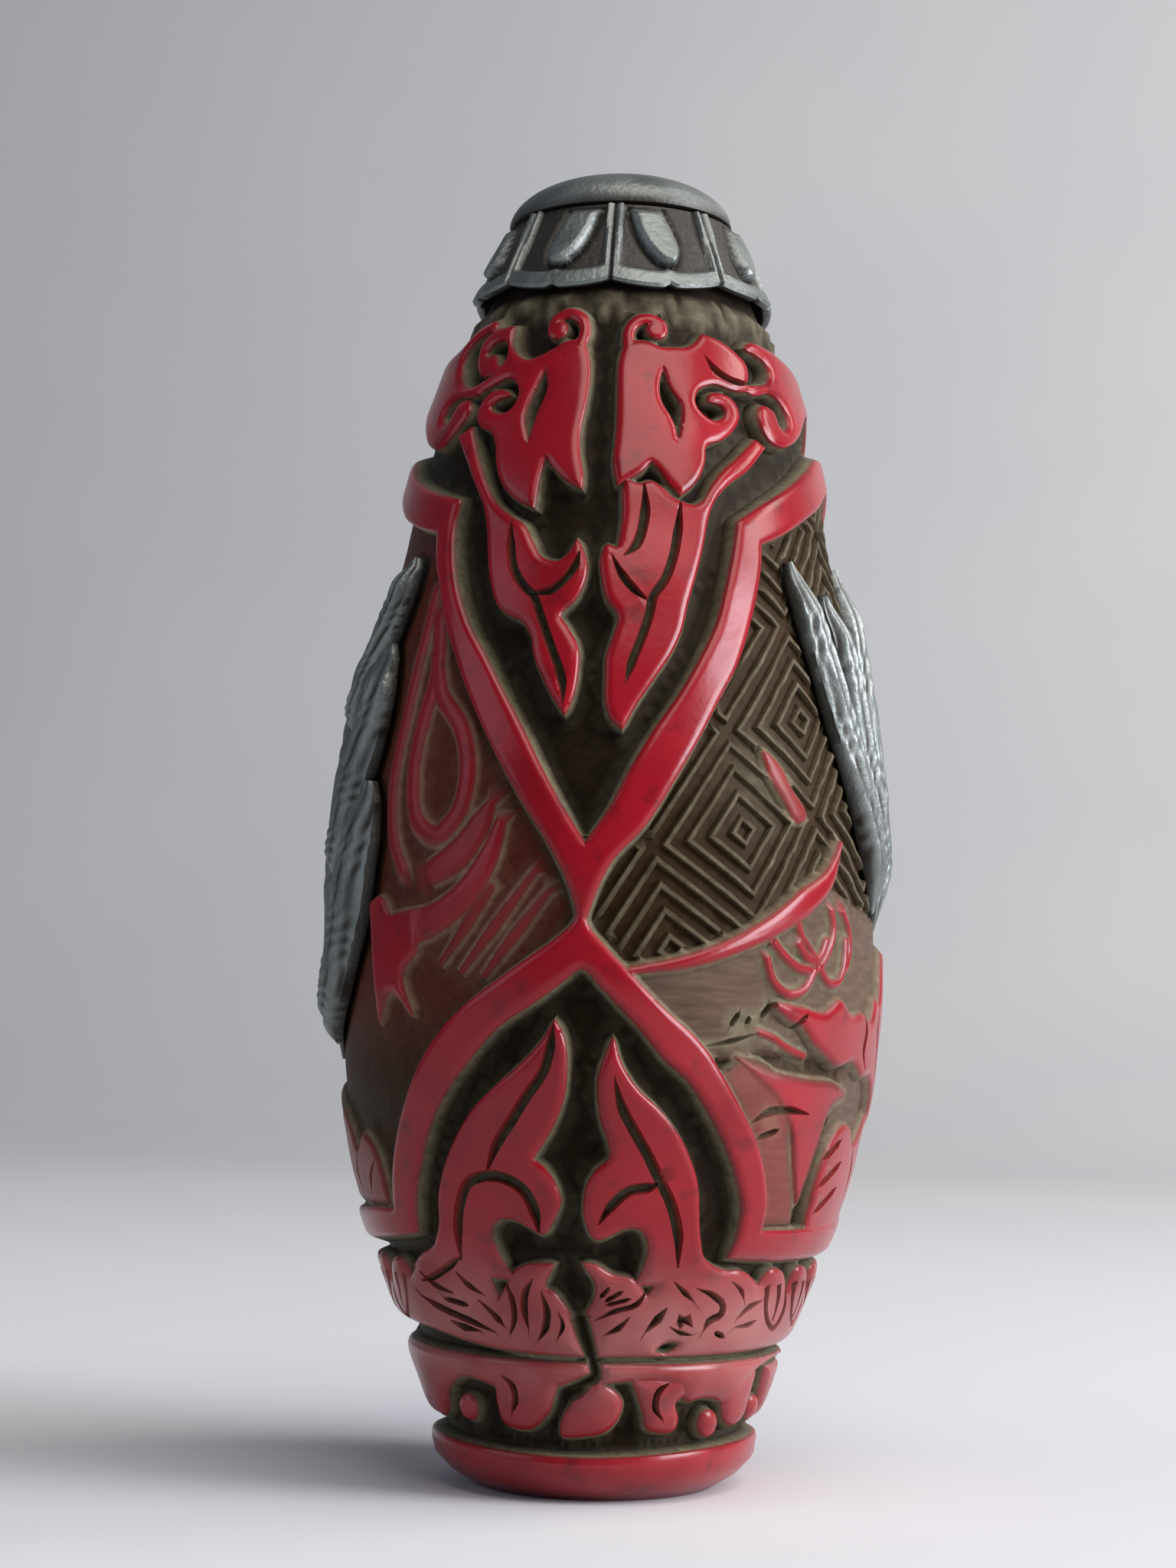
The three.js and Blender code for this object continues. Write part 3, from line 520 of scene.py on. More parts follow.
def leaf_path(leaf, count):
    """Centre line of a leaf on the flat panel, its side direction and half width at each step."""
    foot, bend, tip, width = leaf
    flat = [np.array((p[0] * PANEL_MM_PER_DEGREE, p[1])) for p in (foot, bend, tip)]
    f = np.linspace(0, 1, count)[:, None]
    centre = (1 - f) ** 2 * flat[0] + 2 * f * (1 - f) * flat[1] + f**2 * flat[2]
    along_it = np.gradient(centre, axis=0)
    along_it /= np.hypot(*along_it.T)[:, None]
    across = np.stack([-along_it[:, 1], along_it[:, 0]], 1)
    half = width / 2 * np.interp(f[:, 0], [0, 0.1, 0.35, 0.65, 0.85, 0.95, 1],
                                 [0.3, 0.6, 0.88, 1.0, 0.84, 0.56, 0.2])
    return centre, across, half


def leaf_bed(leaf):
    """Outline of the pocket under a leaf, on the chart of the front half."""
    centre, across, half = leaf_path(leaf, 14)
    out = half[:, None] + LEAF_GAP
    ring = np.concatenate([centre + across * out, (centre - across * out)[::-1]])
    angle = np.radians(ring[:, 0] / PANEL_MM_PER_DEGREE)
    return [(t * along(np.array(z), 1), z) for t, z in zip(angle, ring[:, 1])]


raised_red = [Shape(p) for p in (
    UPPER_FRAME, LOWER_FRAME, LEFT_LOBE, RIGHT_LOBE, LEFT_HANGING, RIGHT_HANGING, LEFT_RISING,
    RIGHT_RISING, LEFT_SHOULDER, RIGHT_SHOULDER, LOTUS_BAND, STRIP_BAND, FOOT_BAND, SCROLL_LEAF,
    LEFT_DROP, RIGHT_DROP)]
raised_red += [Shape(moved(BALL, across, up)) for across, up in FRONT_BALLS]
for side in (-1, 1):
    raised_red.append(Shape(moved(BALL, side * SIDE_BALL[0], SIDE_BALL[1])))
    for across in SIDE_DROPS:
        raised_red.append(Shape(moved(SIDE_DROP, side * across, 0, side)))
raised_red += [Shape(path, widths) for path, widths in RINGLETS]
raised_red += [Shape(moved(BALL, across, up, size=RINGLET_BALL)) for across, up in RINGLET_ENDS]
chip = Shape(CHIP)
rosettes = [Shape(path, ROSETTE_LINE) for path in ROSETTES]
# The pictures in the panels lie lower than the frames: shape, lift, lean of its sides, redness and how
# far in from its edge the red fades.
panel_red = [
    (Shape(TERRACE, TERRACE_WIDTHS), -0.12, 0.34, 1.0, 0.1), (Shape(ROCK_CREST), -0.05, 0.34, 1.0, 0.1),
    (Shape(ROCK_FACE), -0.4, 0.6, 1.0, 0.6), (Shape(ROCK_SIDE), -0.15, 0.34, 0.95, 0.1),
    (Shape(ROCK_SLOPE), -0.5, 0.34, 0.4, 0.5), (Shape(LEFT_ROCK), -0.35, 0.5, 0.6, 0.3),
    (chip, -0.5, 0.3, 0.7, 0.1), (Shape(ROCK_EDGE, 0.34), -0.4, 0.2, 0.9, 0.1),
    (Shape(STEM, 0.8), -0.5, 0.55, 0.75, 0.1),
    (Shape(LOOP, 0.95), -0.45, 0.55, 0.8, 0.1),
    (Shape(BRANCH, [0.6, 1.1, 1.4, 1.6, 1.9]), -0.45, 0.55, 0.85, 0.2),
    (Shape(SPROUT, [1.3, 1.6, 1.3, 0.5]), -0.5, 0.55, 0.75, 0.2), (Shape(ROOT), -0.3, 0.4, 0.95, 0.1)]
panel_red += [(shape, -0.25, 0.2, 1.0, 0.1) for shape in rosettes]
panel_red += [(Shape(path, [0.3, 0.6, 0.3]), -0.68, 0.3, 0.6, 0.1) for path in BARS]
panel_brown = [(Shape(ROCK_GROUND), -0.62), (Shape(ROCK_SLOPE), -0.5), (Shape(ROCK_HOLLOW), -0.66)]
panels = [Shape(RIGHT_PANEL, step=0.8), Shape(LEFT_PANEL, step=0.8)]
crack = Shape(CRACK, CRACK_WIDTHS)
cuts = [Shape(p) for p in CUTS] + [crack]
beds = [Shape(leaf_bed(leaf), step=0.6) for leaf in RIGHT_LEAVES[:3] + LEFT_LEAVES[:4]]
engraved = []
# A line of two points gets two more, so that it is a stroke with pointed ends.
for path, width in ENGRAVED + LOTUS_LINES:
    (x0, z0), (x1, z1) = path[0], path[-1]
    between = path[1:-1] or [(x0 + f * (x1 - x0), z0 + f * (z1 - z0)) for f in (0.2, 0.8)]
    widths = [ENGRAVED_END * width] + [width] * len(between) + [ENGRAVED_END * width]
    engraved.append(Shape([path[0]] + between + [path[-1]], widths, ENGRAVED_STEP))
near_side_only = [chip, crack] + rosettes + engraved[len(ENGRAVED):]
for side in (-1, 1):
    for petal in PETALS:
        engraved.append(Shape(moved(PETAL_LINE, side * petal, 0), 0.3, ENGRAVED_STEP))
        engraved.append(Shape(moved(PETAL_VEIN, side * petal, 0), PETAL_VEIN_WIDTHS, ENGRAVED_STEP))


def fret_axes(x, z):
    """Position inside one slanted square of the fret, from its centre."""
    dx, dz = x - FRET_CENTRE[0], z - FRET_CENTRE[1]
    p = dx * math.sin(FRET_SLANT) - dz * math.cos(FRET_SLANT)
    q = dx * math.cos(FRET_SLANT) + dz * math.sin(FRET_SLANT)
    return tuple((a + FRET_CELL / 2) % FRET_CELL - FRET_CELL / 2 for a in (p, q))


def raise_to(height, d, top, lean=WALL_LEAN):
    """The ground with a carved shape left standing on it."""
    crown = top - EDGE_DROP * np.clip(1 + d / EDGE_ROUND, 0, 1) ** 2
    f = ease(d, 0, lean)
    return np.maximum(height, np.where(d < lean, crown * (1 - f) + height * f, height))


def carve(x, z, far_side=False):
    """Lift of the carved surface at each chart point, with how red, how brown and how dusty it is; the dust
    also holds a painted highlight on the fret by the chip.

    The far side is plainer: what is listed in near_side_only isn't carved there.
    """
    right, left = (panel.distance(x, z, PANEL_REACH) for panel in panels)
    in_panel = ease(-np.minimum(right, left), -0.1, 0.2)
    height = GROUND + (PANEL_GROUND - GROUND) * in_panel
    # Uneven chipping and wear, drawn as fixed waves.
    chips = 0.6 + 0.4 * np.sin(x * 3.1 + 1.3 * np.sin(x * 1.7)) * np.cos(z * 2.6 + x)
    wear = 0.5 + 0.5 * np.sin(x * 1.9 + 2.1 * np.sin(z * 1.3)) * np.cos(z * 1.7 + 1.4 * np.sin(x * 0.9))
    height += ROUGH_RISE * chips * (1 - ease(np.abs(z - ROUGH_Z), 0.4 * ROUGH_HALF, ROUGH_HALF))
    p, q = fret_axes(x, z)
    ring = np.maximum(np.abs(p), np.abs(q)) / FRET_PITCH
    from_ridge = np.abs(ring - np.floor(ring) - 0.5) * FRET_PITCH
    fret = ease(-right, 0.2, 0.5) * ease(z, *FRET_IN)
    ridge = fret * (0.5 + 0.5 * wear)
    height += FRET_HEIGHT * ridge * (1 - ease(from_ridge, FRET_LEVEL, FRET_RIDGE))
    brown = np.zeros(len(x))
    for shape, top in panel_brown:
        d = shape.distance(x, z)
        height = np.where(d < 0, max(top, PANEL_GROUND), height)
        height = raise_to(height, d, top)
        brown = np.maximum(brown, 1 - ease(d, -0.1, 0.2))
    red = LEFT_PANEL_RED * ease(-left, 0.1, 0.6) * ease(z, *LEFT_RED_IN)
    red_edge = np.full(len(x), FAR)
    for shape, top, lean, redness, fade in panel_red:
        if far_side and shape in near_side_only:
            continue
        d = shape.distance(x, z)
        height = raise_to(height, d, top, lean)
        red_edge = np.minimum(red_edge, d)
        red = np.maximum(red, redness * (1 - ease(d, -fade, 0.5 * lean)))
    frame_edge = np.full(len(x), FAR)
    for shape in raised_red:
        frame_edge = np.minimum(frame_edge, shape.distance(x, z))
    for shape in cuts:
        if not (far_side and shape in near_side_only):
            frame_edge = np.maximum(frame_edge, -shape.distance(x, z))
    by_the_foot = (1 - ease(z, *BAND_OUT)) * ease(z, *BAND_IN)
    rounded = -BAND_DROP * by_the_foot * np.clip(1 + frame_edge / BAND_ROUND, 0, 1) ** 2
    height = raise_to(height, frame_edge, rounded)
    red_edge = np.minimum(red_edge, frame_edge)
    red = np.maximum(red, 1 - ease(frame_edge, 0.0, 0.1))
    dust_and_glint = np.exp(-((red_edge - DUST_OUT) / DUST_SPREAD) ** 2)
    dust_and_glint = np.maximum(dust_and_glint, 0.9 * chips**2 * (np.abs(z - ROUGH_Z) < ROUGH_HALF))
    on_fret = ridge * (1 - ease(from_ridge, 0, FRET_RIDGE)) * (red_edge > 0.3) * (1 - brown)
    dust_and_glint = np.maximum(dust_and_glint, 0.95 * on_fret)
    # Pale patch on the fret by the chip: rubbed dust, and partly a painted highlight where the window
    # glints there.
    from_chip = np.hypot(x - DUST_AND_GLINT_SPOT[0], z - DUST_AND_GLINT_SPOT[1])
    pale_sheen = 0.6 * fret * np.exp(-((from_chip / DUST_AND_GLINT_REACH) ** 2)) * (0.4 + 0.6 * wear)
    dust_and_glint = np.maximum(dust_and_glint, pale_sheen)
    for shape in engraved:
        if far_side and shape in near_side_only:
            continue
        d = shape.distance(x, z, 0.5)
        deep = 1 - ease(d, ENGRAVED_FLOOR, ENGRAVED_EDGE)
        height -= ENGRAVING_DEPTH * deep * (height > GROUND + 0.3)
        red *= 1 - deep
        dust_and_glint = np.maximum(dust_and_glint, np.exp(-((d + 0.04) / 0.11) ** 2))
    for shape in beds:
        d = shape.distance(x, z)
        f = ease(d, 0, BED_LEAN)
        height = np.minimum(height, GROUND * (1 - f) + height * f)
        red *= ease(d, -0.05, 0.2)
    return height, red, in_panel, dust_and_glint, brown


def guide_lines():
    """Lines along every carved edge for the mesh to follow."""
    for shape in raised_red + [row[0] for row in panel_red] + cuts:
        for offset in (-EDGE_ROUND - 0.16, -EDGE_ROUND, -0.12, 0.0, 0.12, WALL_LEAN):
            yield shape.edge(offset)
    for shape in engraved:
        for offset in (ENGRAVED_FLOOR, ENGRAVED_EDGE):
            yield shape.edge(offset)
    for shape in beds + [row[0] for row in panel_brown]:
        for offset in (0.0, BED_LEAN):
            yield shape.edge(offset)


def fret_lines():
    """The ridges of the fret over the right panel, four mesh lines to a ridge."""
    across = np.array((math.sin(FRET_SLANT), -math.cos(FRET_SLANT)))
    up = np.array((math.cos(FRET_SLANT), math.sin(FRET_SLANT)))
    sides = np.array([(1, 1), (-1, 1), (-1, -1), (1, -1)], float)
    cells = range(-FRET_REACH, FRET_REACH + 1)
    for i in cells:
        for j in cells:
            centre = np.array(FRET_CENTRE) + i * FRET_CELL * across + j * FRET_CELL * up
            for ring in range(FRET_RINGS):
                for offset in (-FRET_RIDGE, -FRET_LEVEL, FRET_LEVEL, FRET_RIDGE):
                    size = (ring + 0.5) * FRET_PITCH + offset
                    square = [tuple(centre + size * (a * across + b * up)) + (1,) for a, b in sides]
                    yield smooth_line(square, True, 0.7)


# The chart is triangulated with angles drawn at one radius. Spacing of its plain parts, and how many
# points its borders have.
CHART_MM = 14.0
CHART_EDGE = QUARTER * CHART_MM
CHART_GRID = 0.8
SEAM_POINTS = 118
RIM_POINTS = 61


def chart_half():
    """Triangles over the front half of the chart, as angle, height and faces."""
    points, edges = [], []

    def add(x, z, keep):
        angle = x / along(z, 1)
        keep = keep & (np.abs(angle) < QUARTER - 0.006) & (z > 0.25) & (z < MOUTH_Z - 0.25)
        numbers = np.cumsum(keep) - 1 + len(points)
        points.extend(zip(angle[keep] * CHART_MM, z[keep]))
        follow = np.roll(np.arange(len(x)), -1)
        joined = keep & keep[follow]
        edges.extend((int(numbers[a]), int(numbers[follow[a]])) for a in np.nonzero(joined)[0])

    border = [(-CHART_EDGE, z) for z in np.linspace(0, MOUTH_Z, SEAM_POINTS)]
    border += [(s, MOUTH_Z) for s in np.linspace(-CHART_EDGE, CHART_EDGE, RIM_POINTS)[1:-1]]
    border += [(CHART_EDGE, z) for z in np.linspace(MOUTH_Z, 0, SEAM_POINTS)]
    border += [(s, 0.0) for s in np.linspace(CHART_EDGE, -CHART_EDGE, RIM_POINTS)[1:-1]]
    points.extend(border)
    edges.extend((i, (i + 1) % len(border)) for i in range(len(border)))

    covered = raised_red + [row[0] for row in panel_red]

    def nearest(x, z):
        d = np.full(len(x), FAR)
        for shape in covered:
            d = np.minimum(d, shape.distance(x, z))
        return d

    for line in guide_lines():
        x, z = line.T
        add(x, z, np.ones(len(x), bool))
    for line in fret_lines():
        x, z = line.T
        keep = (panels[0].distance(x, z, PANEL_REACH) < -0.3) & (x < 26) & (z > FRET_IN[0])
        if keep.any():
            keep[keep] = nearest(x[keep], z[keep]) > 0.2
            for row in panel_brown:
                keep &= row[0].distance(x, z) > 0.2
            add(x, z, keep)
    s, z = np.meshgrid(np.arange(-21.5, 21.6, CHART_GRID), np.arange(CHART_GRID, 70.2, CHART_GRID))
    s = (s + CHART_GRID / 2 * (np.arange(len(s)) % 2)[:, None]).ravel()
    z = z.ravel()
    x = s / CHART_MM * along(z, 1)
    clear = np.abs(nearest(x, z)) > 0.45
    fretted = (panels[0].distance(x, z, PANEL_REACH) < 0) & (panel_brown[0][0].distance(x, z) > 0)
    clear &= ~(fretted & (z > sum(FRET_IN) / 2)) & (np.abs(s) < CHART_EDGE - 0.3)
    points.extend(zip(s[clear], z[clear]))

    places = [Vector(p) for p in points]
    made = delaunay_2d_cdt(places, edges, [], 0, 1e-5)
    chart = np.array([tuple(p) for p in made[0]])
    return chart[:, 0] / CHART_MM, chart[:, 1], np.array([f for f in made[2] if len(f) == 3])


def new_object(name, positions, faces, attributes=None):
    """A mesh object from millimetre positions and faces, with a number at each point by name."""
    mesh = bpy.data.meshes.new(name)
    mesh.from_pydata((np.asarray(positions) * MM).tolist(), [], [tuple(map(int, f)) for f in faces])
    for key, values in (attributes or {}).items():
        layer = mesh.attributes.new(key, "FLOAT", "POINT")
        layer.data.foreach_set("value", np.asarray(values, np.float32))
    mesh.validate()
    obj = bpy.data.objects.new(name, mesh)
    bpy.context.scene.collection.objects.link(obj)
    return obj


def ring_faces(first, second):
    """Two triangles between each pair of neighbours of two closed rings."""
    follow = np.roll(np.arange(len(first)), -1)
    first, second = np.asarray(first), np.asarray(second)
    quads = np.stack([first, first[follow], second[follow], second], 1)
    return np.concatenate([quads[:, [0, 1, 2]], quads[:, [0, 2, 3]]])


def build_body():
    """The hollow bottle: carved all round, bored through the neck, plain inside and flat under the foot."""
    angle, z, faces = chart_half()
    x = angle * along(z, 1)
    near, far = carve(x, z), carve(x, z, far_side=True)
    front, back = (on_body(angle, z, side[0]) for side in (near, far))
    seam = np.abs(np.abs(angle) - QUARTER) < 1e-5
    front[seam, 1] = 0
    run = front[faces[:, 1]] - front[faces[:, 0]]
    rise = front[faces[:, 2]] - front[faces[:, 0]]
    middle = front[faces].mean(1)
    inward = np.sum(np.cross(run, rise)[:, :2] * middle[:, :2], axis=1) < 0
    faces[inward] = faces[inward][:, ::-1]
    # The back half has the front's points mirrored, and shares those on the seam.
    count = len(front)
    twin = np.arange(count)
    twin[~seam] = count + np.arange(np.count_nonzero(~seam))
    positions = [front, back[~seam] * (1, -1, 1)]
    all_faces = [faces, twin[faces][:, ::-1]]
    looks = [np.concatenate([v, w[~seam]]) for v, w in zip(near[1:], far[1:])]
    shell = np.concatenate(positions)
    total = len(shell)

    def rim(level):
        ring = np.nonzero(np.abs(shell[:, 2] - level) < 1e-4)[0]
        return ring[np.argsort(np.arctan2(shell[ring, 1], shell[ring, 0]))]

    mouth, foot = rim(MOUTH_Z), rim(0.0)
    turn = np.arctan2(shell[mouth, 0], -shell[mouth, 1])
    rings = []
    for level in (MOUTH_Z, BORE_END):
        bore = [BORE_RADIUS * np.sin(turn), -BORE_RADIUS * np.cos(turn), np.full(len(turn), level)]
        rings.append(np.stack(bore, 1))
    for level, lift in INSIDE:
        rings.append(on_body(turn, np.full(len(turn), level), lift))
    previous = mouth
    for ring in rings:
        current = np.arange(total, total + len(ring))
        all_faces.append(ring_faces(previous, current))
        positions.append(ring)
        previous = current
        total += len(ring)
    positions.append(np.array([(0, 0, INSIDE[-1][0]), (0, 0, 0.0)]))
    follow = np.roll(np.arange(len(previous)), -1)
    all_faces.append(np.stack([previous, previous[follow], np.full(len(previous), total)], 1))
    follow = np.roll(np.arange(len(foot)), -1)
    all_faces.append(np.stack([foot[follow], foot, np.full(len(foot), total + 1)], 1))
    positions = np.concatenate(positions)
    spare = len(positions) - len(looks[0])
    looks = [np.concatenate([v, np.zeros(spare)]) for v in looks]
    marks = dict(zip(("red", "panel", "dust_and_glint", "brown"), looks))
    return new_object("lacquer_body_carved", positions, np.concatenate(all_faces), marks)


def build_leaves(name, leaves):
    """A spray of silver leaves, each one a closed blade with ridges along it."""
    positions, faces, tarnish_and_shade = [], [], []
    total = 0
    steps, spots = 80, 21
    for number, leaf in enumerate(leaves):
        centre, across, half = leaf_path(leaf, steps)
        share = np.linspace(-1, 1, spots)
        flat = centre[:, None, :] + across[:, None, :] * (half[:, None] * share)[:, :, None]
        f = np.linspace(0, 1, steps)[:, None]
        wave = np.sin(share * 9 + 2.2 * np.sin(f * 7 + number) + number * 1.7)
        nicks = np.sin(f * 70 + share * 12 + 3 * np.sin(f * 23 + number))
        dome = np.sqrt(1 - 0.92 * share**2)
        top = LEAF_BASE + LEAF_DOME * dome + LEAF_FURROW * wave + LEAF_NICK * nicks
        sink = ease(f, -0.05, 0.22) * (1 - 0.6 * ease(f, 0.86, 1.0))
        top = LEAF_BED + LEAF_THIN + (top - LEAF_BED - LEAF_THIN) * sink
        groove = np.clip(-0.8 * wave - 0.35 * nicks, 0, 1)
        angle = np.radians(flat[:, :, 0] / PANEL_MM_PER_DEGREE)
        upper = on_body(angle, flat[:, :, 1], top)
        lower = on_body(angle[:, ::-1], flat[:, ::-1, 1], LEAF_BED)
        loops = np.concatenate([upper, lower], axis=1)
        size = loops.shape[1]
        positions.append(loops.reshape(-1, 3))
        tarnish_and_shade.append(np.concatenate([groove, np.ones_like(groove)], axis=1).ravel())
        number_at = total + np.arange(steps * size).reshape(steps, size)
        for i in range(steps - 1):
            faces.extend(ring_faces(number_at[i + 1], number_at[i]).tolist())
        faces.append(number_at[0].tolist())
        faces.append(number_at[-1][::-1].tolist())
        total += steps * size
    return new_object(name, np.concatenate(positions), faces, {"tarnish_and_shade": np.concatenate(tarnish_and_shade)})


# Collar: eight lappets in mirrored pairs, each with a raised rim and a leaf-shaped tongue.
COLLAR_TOP = 71.05
COLLAR_BOTTOM = 65.55
COLLAR_INSIDE = -0.8
COLLAR_SCALLOP = 0.5
LAPPETS = 8
LAPPET_RIM = 0.95
LAPPET_SIDE_RIM = 0.42
LAPPET_DEPTH = 0.34
LAPPET_TONGUE = [(0.9, 70.7, 1), (1.4, 69.2), (2.4, 67.7), (3.1, 67.15), (3.75, 67.2), (3.95, 67.9),
                 (3.5, 69.2), (2.7, 70.7, 1)]
# How much broader than thick the neck gets for each metre down from the collar's top.
NECK_WIDENING = 17.8
# How much the collar's lower edge climbs on the broad sides, for each square metre across.
SIDE_RISE = 2100.0


def build_lappet_pair():
    """Two lappets, mirrored about the front of a round neck, open at their outer sides."""
    columns, rows = 41, 40
    u = np.linspace(0, 1, columns)[None, :]
    v = (np.linspace(0, 1, rows) ** 0.9)[:, None]
    off = np.abs(2 * u - 1)
    low = COLLAR_BOTTOM + COLLAR_SCALLOP * off**2.4 + 0.22 * np.exp(-((off / 0.07) ** 2))
    z = low + v * (COLLAR_TOP - low)
    angle = u * 2 * math.pi / LAPPETS + 0 * v
    thick = along(z, 1)
    across = angle * thick
    from_side = (1 - off) * math.pi / LAPPETS * thick
    from_edge = np.minimum(from_side * LAPPET_RIM / LAPPET_SIDE_RIM, z - low)
    tongue = Shape(LAPPET_TONGUE, step=0.15).distance(across.ravel(), z.ravel(), 6).reshape(z.shape)
    sunk = ease(from_edge, LAPPET_RIM, LAPPET_RIM + 0.22)
    line = np.exp(-((tongue - 0.2) / 0.16) ** 2) * (z < COLLAR_TOP - 0.2)
    seam = 1 - ease(from_side, 0.05, 0.18)
    lift = -0.25 * (1 - v) - LAPPET_DEPTH * sunk - 0.16 * (1 - ease(z - low, 0.0, 0.2))
    lift = lift - 0.26 * seam - 0.2 * line
    leaf = 0.06 - 0.5 * ease(tongue, -0.3, 0.14)
    lift = np.where(tongue < 0.12, np.maximum(lift, leaf), lift)
    tarnish_and_shade = np.maximum(0.95 * sunk * ease(tongue, -0.05, 0.1), np.maximum(seam, line))
    ends = [0, rows - 1]
    bore = thick[ends] + COLLAR_INSIDE
    number = np.arange(rows * columns).reshape(rows, columns)
    inside = rows * columns + np.arange(2 * columns).reshape(2, columns)
    # From the lower edge up the outside, over the top and down the inside again.
    strips = list(number) + [inside[1], inside[0], number[0]]
    quads = np.concatenate([np.stack([below[:-1], below[1:], above[1:], above[:-1]], 1)
                            for below, above in zip(strips, strips[1:])])
    outer = np.stack([(thick + lift) * np.sin(angle), -(thick + lift) * np.cos(angle), z], -1)
    inner = np.stack([bore * np.sin(angle[ends]), -bore * np.cos(angle[ends]), z[ends]], -1)
    half = np.concatenate([outer.reshape(-1, 3), inner.reshape(-1, 3)])
    marks = np.concatenate([tarnish_and_shade.ravel(), np.ones(2 * columns)])
    faces = np.concatenate([quads, quads[:, ::-1] + len(half)])
    return new_object("silver_lappet_pair", np.concatenate([half, half * (-1, 1, 1)]), faces,
                      {"tarnish_and_shade": np.tile(marks, 2)})


def add_node(tree, kind, settings=None, links=None):
    """Add a node, set its properties or unlinked sockets, and link its sockets to earlier outputs."""
    made = tree.nodes.new(kind)
    for key, value in (settings or {}).items():
        if isinstance(key, int) or key in made.inputs:
            made.inputs[key].default_value = value
        else:
            setattr(made, key, value)
    for key, source in (links or {}).items():
        tree.links.new(source, made.inputs[key])
    return made


def ring_of_lappets(pair, finish):
    """Repeat the pair round the neck, weld the sides and draw the round out to the neck's oval."""
    tree = bpy.data.node_groups.new("lappets round the neck", "GeometryNodeTree")
    sockets = {}
    for name, kind, in_out in (
            ("Pair", "Geometry", "INPUT"), ("Count", "Int", "INPUT"), ("Widening", "Float", "INPUT"),
            ("Top", "Float", "INPUT"), ("Rise", "Float", "INPUT"), ("Weld", "Float", "INPUT"),
            ("Collar", "Geometry", "OUTPUT")):
        socket = tree.interface.new_socket(name, in_out=in_out, socket_type="NodeSocket" + kind)
        sockets[name] = socket.identifier
    given = add_node(tree, "NodeGroupInput").outputs
    spots = add_node(tree, "GeometryNodePoints", {}, {"Count": given["Count"]})
    index = add_node(tree, "GeometryNodeInputIndex")
    share = add_node(tree, "ShaderNodeMath", {"operation": "DIVIDE"}, {
        0: index.outputs[0], 1: given["Count"]})
    turn = add_node(tree, "ShaderNodeMath", {"operation": "MULTIPLY", 1: 2 * math.pi}, {
        0: share.outputs[0]})
    euler = add_node(tree, "ShaderNodeCombineXYZ", {}, {"Z": turn.outputs[0]})
    rotation = add_node(tree, "FunctionNodeEulerToRotation", {}, {0: euler.outputs[0]})
    placed = add_node(tree, "GeometryNodeInstanceOnPoints", {}, {
        "Points": spots.outputs[0], "Instance": given["Pair"], "Rotation": rotation.outputs[0]})
    real = add_node(tree, "GeometryNodeRealizeInstances", {}, {"Geometry": placed.outputs[0]})
    welded = add_node(tree, "GeometryNodeMergeByDistance", {}, {
        "Geometry": real.outputs[0], "Distance": given["Weld"]})
    position = add_node(tree, "GeometryNodeInputPosition")
    split = add_node(tree, "ShaderNodeSeparateXYZ", {}, {0: position.outputs[0]})
    drop = add_node(tree, "ShaderNodeMath", {"operation": "SUBTRACT"}, {
        0: given["Top"], 1: split.outputs["Z"]})
    grow = add_node(tree, "ShaderNodeMath", {"operation": "MULTIPLY"}, {
        0: drop.outputs[0], 1: given["Widening"]})
    out = add_node(tree, "ShaderNodeMath", {"operation": "MULTIPLY"}, {
        0: grow.outputs[0], 1: split.outputs["Y"]})
    aside = add_node(tree, "ShaderNodeMath", {"operation": "POWER", 1: 2.0}, {0: split.outputs["X"]})
    lower = add_node(tree, "ShaderNodeMath", {"operation": "MULTIPLY"}, {
        0: aside.outputs[0], 1: drop.outputs[0]})
    higher = add_node(tree, "ShaderNodeMath", {"operation": "MULTIPLY"}, {
        0: lower.outputs[0], 1: given["Rise"]})
    offset = add_node(tree, "ShaderNodeCombineXYZ", {}, {"Y": out.outputs[0], "Z": higher.outputs[0]})
    drawn = add_node(tree, "GeometryNodeSetPosition", {}, {
        "Geometry": welded.outputs[0], "Offset": offset.outputs[0]})
    coated = add_node(tree, "GeometryNodeSetMaterial", {"Material": finish}, {
        "Geometry": drawn.outputs[0]})
    add_node(tree, "NodeGroupOutput", {}, {"Collar": coated.outputs[0]})

    modifier = pair.modifiers.new("lappets", "NODES")
    modifier.node_group = tree
    for name, value in (("Count", LAPPETS // 2), ("Widening", NECK_WIDENING), ("Top", COLLAR_TOP * MM),
                        ("Rise", SIDE_RISE), ("Weld", 0.004 * MM)):
        modifier[sockets[name]] = value
    bpy.context.view_layer.update()
    ring = pair.evaluated_get(bpy.context.evaluated_depsgraph_get())
    mesh = bpy.data.meshes.new_from_object(ring)
    bpy.data.objects.remove(pair)
    collar = bpy.data.objects.new("silver_collar_petals", mesh)
    bpy.context.scene.collection.objects.link(collar)
    return collar


# Stopper: a low dome on a short plug, sitting a little crooked in the mouth.
DOME_RADIUS = 6.45
DOME_RISE = 2.95
PLUG_RADIUS = 3.5
PLUG_LENGTH = 4.6
STOPPER_TILT = math.radians(1.0)
STOPPER_ASIDE = -0.2
STOPPER_Z = 71.1 + DOME_RADIUS * math.sin(STOPPER_TILT)


